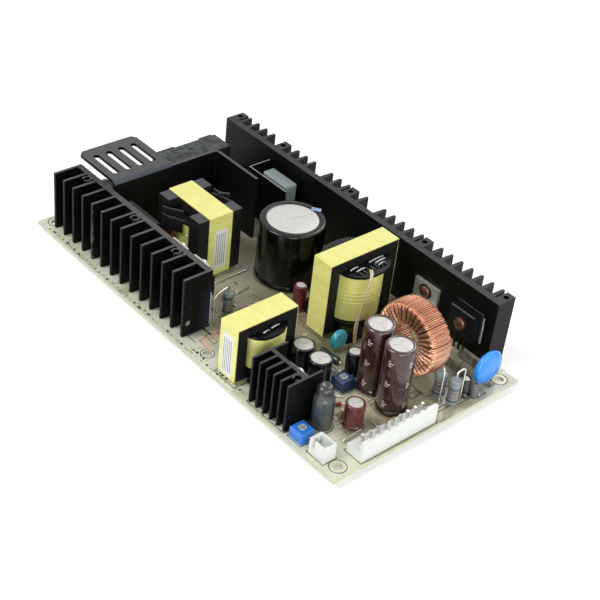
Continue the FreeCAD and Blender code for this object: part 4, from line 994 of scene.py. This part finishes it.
# Trimmers: square blue nylon cases with a round rotor in a well on top, whose slot takes a
# screwdriver. The cases are sealed and smooth, and the rotors a paler grey.
for node, name, dark, light, rough in (
        ("voltage_trimmer_case", "trimmer_case", (24, 106, 206), (50, 138, 230), 0.3),
        ("limit_trimmer_case", "limit_case_nylon", (5, 36, 74), (12, 52, 96), 0.32)):
    dress(surface(name, dark, light, rough, grain=1200, relief=0.04, coat=0.2), node)
rotor_grey = surface("trimmer_rotor", (150, 158, 166), (186, 192, 196), 0.38, grain=2200, relief=0.04)
dress(rotor_grey, "voltage_trimmer_rotor", "limit_trimmer_rotor")


# Headers: white nylon row housings with tinned square brass pins pressed through their floors. The
# nylon is slightly translucent and waxy.
nylon = surface("white_nylon", (220, 224, 220), (240, 243, 240), 0.36, grain=1600,
                more={"Subsurface Weight": 0.12, "Subsurface Scale": 0.8 * mm})
dress(nylon, "output_header_housing", "signal_header_housing", "input_header_housing")
dress(surface("pin_plating", (190, 190, 182), (226, 226, 218), 0.25, metal=0.9, grain=2600), "header_pins")


# Boxed parts: the film capacitor is a grey moulded box and the line filter capacitor a dusty black
# one. A folded sheet of black fibre stands round the first, and its cut edges are paler.
film_box = surface("film_box", (116, 128, 129), (142, 154, 155), 0.42, grain=1300, relief=0.04)
dress(film_box, "film_capacitor")
filter_box = surface("filter_box", (20, 23, 22), (42, 46, 45), 0.4, grain=420, relief=0.14, shine=0.25)
on_top = above(filter_box, upward(filter_box), 0.5)
dusty = ramp(filter_box, clouds(filter_box, 320.0, 8.0), 0.42, 0.7, 0, 0.7)
recolour(filter_box, product(filter_box, on_top, dusty), (96, 103, 100))
dress(filter_box, "line_filter_capacitor")
fibre = surface("black_fibre", (6, 7, 5), (15, 17, 13), 0.44, grain=3000, relief=0.03, shine=0.15)
recolour(fibre, above(fibre, upward(fibre), 0.5), (158, 160, 158))
dress(fibre, "insulating_sheet")


# Input fuse: a glass tube with a plated cap crimped on each end, gripped by two sprung clips of
# tinned copper that are soldered to the board.
low, high, mid, size = measured("input_fuse")
lying_down = Matrix.Translation(mid) @ spun(90, "Y")
cap_half = 2.5 * mm
glass = lathe(0, 0, profile(((2.5, 1.0), (2.6, 1.4)), 0, -size.x / 2) +
              profile(((2.6, -1.4), (2.5, -1.0)), 0, size.x / 2), 40)
glass.data.transform(lying_down)
clear = surface("fuse_glass", (214, 224, 222), (226, 234, 232), 0.08, grain=600, relief=0.01, spread=0.02,
                more={"Transmission Weight": 0.85, "IOR": 1.46})
settle(glass, "fuse_tube", clear, "fuse_glass", ["input_fuse"])
caps = []
for side, turn in ((-1, 0), (1, 180)):
    cap = lathe(0, 0, profile(((2.5, -2.5), (2.85, -2.3), (2.9, -1.0), (2.9, 1.4), (2.75, 1.7), (2.9, 2.0),
                               (2.85, 2.5), (2.62, 2.5))), 40)
    place = Matrix.Translation((0, 0, side * (size.x / 2 - cap_half)))
    cap.data.transform(lying_down @ place @ spun(turn, "X"))
    caps.append(cap)
settle(caps, "fuse_caps", plated, "plated_screw")
dress(tinned, "fuse_clips")


# Bus strips and wire links: tinned copper strips on edge beside the toroid, and bare wires bent
# like staples, which carry current over the board's tracks.
bar_plate = surface("tinned_bar", (120, 112, 98), (206, 204, 196), 0.3, metal=0.75, grain=420,
                    stretch=(1, 1, 0.3), relief=0.04)
dress(bar_plate, "output_bus_bars")


def link(a, b, foot, shoulder, crown, share, dia):
    """A bare wire between two holes: up to its shoulder, over its crown and down again."""
    bend, back = ([p + (q - p) * share for p, q in zip(*ends)] for ends in ((a, b), (b, a)))
    return wire(((*a, foot), (*a, shoulder), (*bend, crown), (*back, crown), (*b, shoulder), (*b, foot)),
                dia)


staples = [link(a, b, hole_z, z, z + 0.25, 0.12, 0.8) for a, b, z in (
    ((189.4, 16.5), (188.8, 27.0), 2.6), ((110.0, 40.0), (122.0, 40.0), 2.5),
    ((154.0, 22.0), (154.0, 27.0), 2.5))]
settle(staples, "staple_links", tinned, "tinned_copper", ["jumper_wires"], angle=60)
in_hole_z = 1.55
low_links = [link(a, b, in_hole_z, 2.1, 2.3, 0.08, 0.62) for a, b in (
    ((82.4, 37.5), (82.3, 56.6)), ((93.5, 41.0), (92.8, 48.4)), ((86.0, 26.0), (99.0, 26.4)),
    ((171.0, 22.4), (179.4, 23.0)), ((186.8, 33.6), (192.2, 33.3)), ((193.4, 60.0), (193.2, 55.0)),
    ((150.0, 44.2), (158.4, 43.2)), ((166.0, 30.0), (170.6, 34.2)), ((193.0, 80.2), (200.6, 80.8)))]
settle(low_links, "low_links", tinned, "tinned_copper", angle=60)


# Lying parts: small axial parts that lie flat between the larger ones, each a lacquered or glass
# body on a tinned wire that is bent down into the board at both ends.
def lying(x, y, length, dia, turn, name, finish, slot="resistor_lacquer"):
    """A body round (x, y), turned from the board's long side; gives its wire."""
    r, half = dia / 2 * mm, length / 2 * mm
    end = ((r * 0.5, 0), (r * 0.9, 0.12 * mm), (r, r * 0.5), (r * 0.94, r * 1.3))
    rings = [(radius, -half + up) for radius, up in end]
    rings += [(radius, half - up) for radius, up in reversed(end)]
    height = deck + r + 0.15 * mm
    body = lathe(0, 0, rings, 32)
    body.data.transform(Matrix.Translation((*at(x, y), height)) @ spun(turn, "Z") @ spun(90, "Y"))
    settle(body, name, finish, slot, angle=50)
    across, along = math.cos(math.radians(turn)), math.sin(math.radians(turn))
    reach, z = length / 2 + 1.6, height / mm
    return wire([(x + s * reach * across, y + s * reach * along, h) for s, h in
                 ((-1, in_hole_z), (-1, z - 0.2), (-0.9, z), (0.9, z), (1, z - 0.2), (1, in_hole_z))], 0.5)


green_lacquer = surface("green_lacquer", (14, 40, 34), (30, 62, 52), 0.3, relief=0.05, coat=0.3)
red_glass = surface("red_glass", (96, 24, 20), (146, 46, 34), 0.16, relief=0.03, coat=0.6)
tan_lacquer = surface("tan_lacquer", (150, 120, 84), (186, 156, 116), 0.35, grain=1100, relief=0.05,
                      coat=0.15)
black_lacquer = surface("black_lacquer", (12, 12, 13), (30, 30, 31), 0.3, relief=0.04, coat=0.2)
part_leads = [lying(*part) for part in (
    (149.2, 45.4, 9.6, 3.4, 8, "green_lying_part", green_lacquer),
    (172.6, 28.8, 3.4, 1.8, 60, "red_lying_diode", red_glass),
    (153.6, 40.6, 3.6, 1.8, 20, "amber_lying_diode", red_glass),
    (178.0, 25.6, 3.2, 2.0, 100, "grey_lying_part", tan_lacquer),
    (96.0, 34.6, 6.4, 2.3, 4, "tan_lying_part", tan_lacquer),
    (113.0, 45.0, 5.0, 2.6, 84, "black_lying_diode", black_lacquer, "black_moulding"),
    (117.5, 51.6, 3.6, 1.8, 30, "glass_lying_diode", red_glass),
    (167.0, 57.2, 5.0, 2.4, 90, "dark_lying_part", black_lacquer, "black_moulding"),
    (191.8, 40.0, 4.2, 1.9, 88, "tan_edge_part", tan_lacquer))]
settle(part_leads, "lying_part_leads", tinned, "tinned_copper", angle=60)


# Solder joints: a bright cone of solder round each trimmed lead end under the board, wider at the
# pad and drawn in towards the lead.
cone = lathe(0, 0, profile(((1.35, -0.02), (1.2, -0.2), (0.8, -0.6), (0.52, -1.1), (0.42, -1.6), (0.4, -2.5),
                            (0.3, -2.6))), 14)
joints = [copied(cone, Matrix.Translation(((low.x + high.x) / 2, (low.y + high.y) / 2, 0)))
          for low, high in bodies_of("solder_tails")]
bpy.data.objects.remove(cone)
solder = surface("solder", (176, 178, 180), (214, 216, 216), 0.28, metal=0.85, grain=1300, relief=0.06)
settle(joints, "solder_joints", solder, "solder", ["solder_tails"], angle=50)


# Floor, light and camera: a plain pale floor under soft studio light. The camera stands where the
# photograph was taken from, above the output corner, looking down the board.
deselect()
bpy.ops.mesh.primitive_plane_add(size=6, location=(0, 0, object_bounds()[0].z - 0.05 * mm))
floor = bpy.context.object
floor.name = "floor"


def backdrop_share(owner):
    """1 for rays from the camera, in a reflection or through glass, which see the bare background."""
    path = add(owner, "LightPath").outputs
    share = path["Is Camera Ray"]
    for kind in ("Is Glossy Ray", "Is Transmission Ray"):
        share = add(owner, "Math", {"operation": "MAXIMUM"}, links={0: share, 1: path[kind]}).outputs[0]
    return share


ground = bpy.data.materials.new("pale_floor")
ground.use_nodes = True
matt = ground.node_tree.nodes["Principled BSDF"]
matt.inputs["Base Color"].default_value = (0.82, 0.82, 0.82, 1)
matt.inputs["Roughness"].default_value = 0.9
glow_strength = add(ground, "Math", {"operation": "MULTIPLY"}, {1: 0.42}, {0: backdrop_share(ground)})
glow = add(ground, "Emission", links={"Strength": glow_strength.outputs[0]})
both = add(ground, "AddShader", links={0: matt.outputs[0], 1: glow.outputs[0]})
ground.node_tree.links.new(both.outputs[0], ground.node_tree.nodes["Material Output"].inputs["Surface"])
floor.data.materials.append(ground)

world = bpy.data.worlds.new("studio")
bpy.context.scene.world = world
world.use_nodes = True
room = world.node_tree.nodes["Background"]
room.inputs["Color"].default_value = (1, 1, 1, 1)
room.inputs["Strength"].default_value = 0.16
bare = add(world, "Background", inputs={"Color": (1, 1, 1, 1), "Strength": 1.0})
seen = add(world, "MixShader", links={0: backdrop_share(world), 1: room.outputs[0], 2: bare.outputs[0]})
world.node_tree.links.new(seen.outputs[0], world.node_tree.nodes["World Output"].inputs["Surface"])

for name, place, wide, power in (("key_light", (-0.35, -0.75, 1.1), 0.6, 11.6),
                                 ("fill_light", (1.0, 0.1, 0.7), 0.7, 5.0),
                                 ("rear_light", (-0.3, 0.9, 0.9), 0.5, 4.0),
                                 ("front_light", (0.95, -0.62, 0.36), 0.6, 5.5)):
    lamp = bpy.data.lights.new(name, "AREA")
    lamp.size, lamp.energy = wide, power
    holder = bpy.data.objects.new(name, lamp)
    bpy.context.scene.collection.objects.link(holder)
    holder.location = place
    holder.rotation_euler = (-Vector(place)).to_track_quat("-Z", "Y").to_euler()

lens = bpy.data.cameras.new("camera")
lens.sensor_width, lens.lens = 36.0, 79.2
camera_place = (0.3364, -0.3108, 0.3406)
camera = bpy.data.objects.new("camera", lens)
bpy.context.scene.collection.objects.link(camera)
camera.location = camera_place
camera.rotation_euler = (spun(45.4, "Z") @ spun(53.5, "X") @ spun(6.8, "Z")).to_euler()
bpy.context.scene.camera = camera
bpy.context.scene.view_settings.view_transform = "Standard"
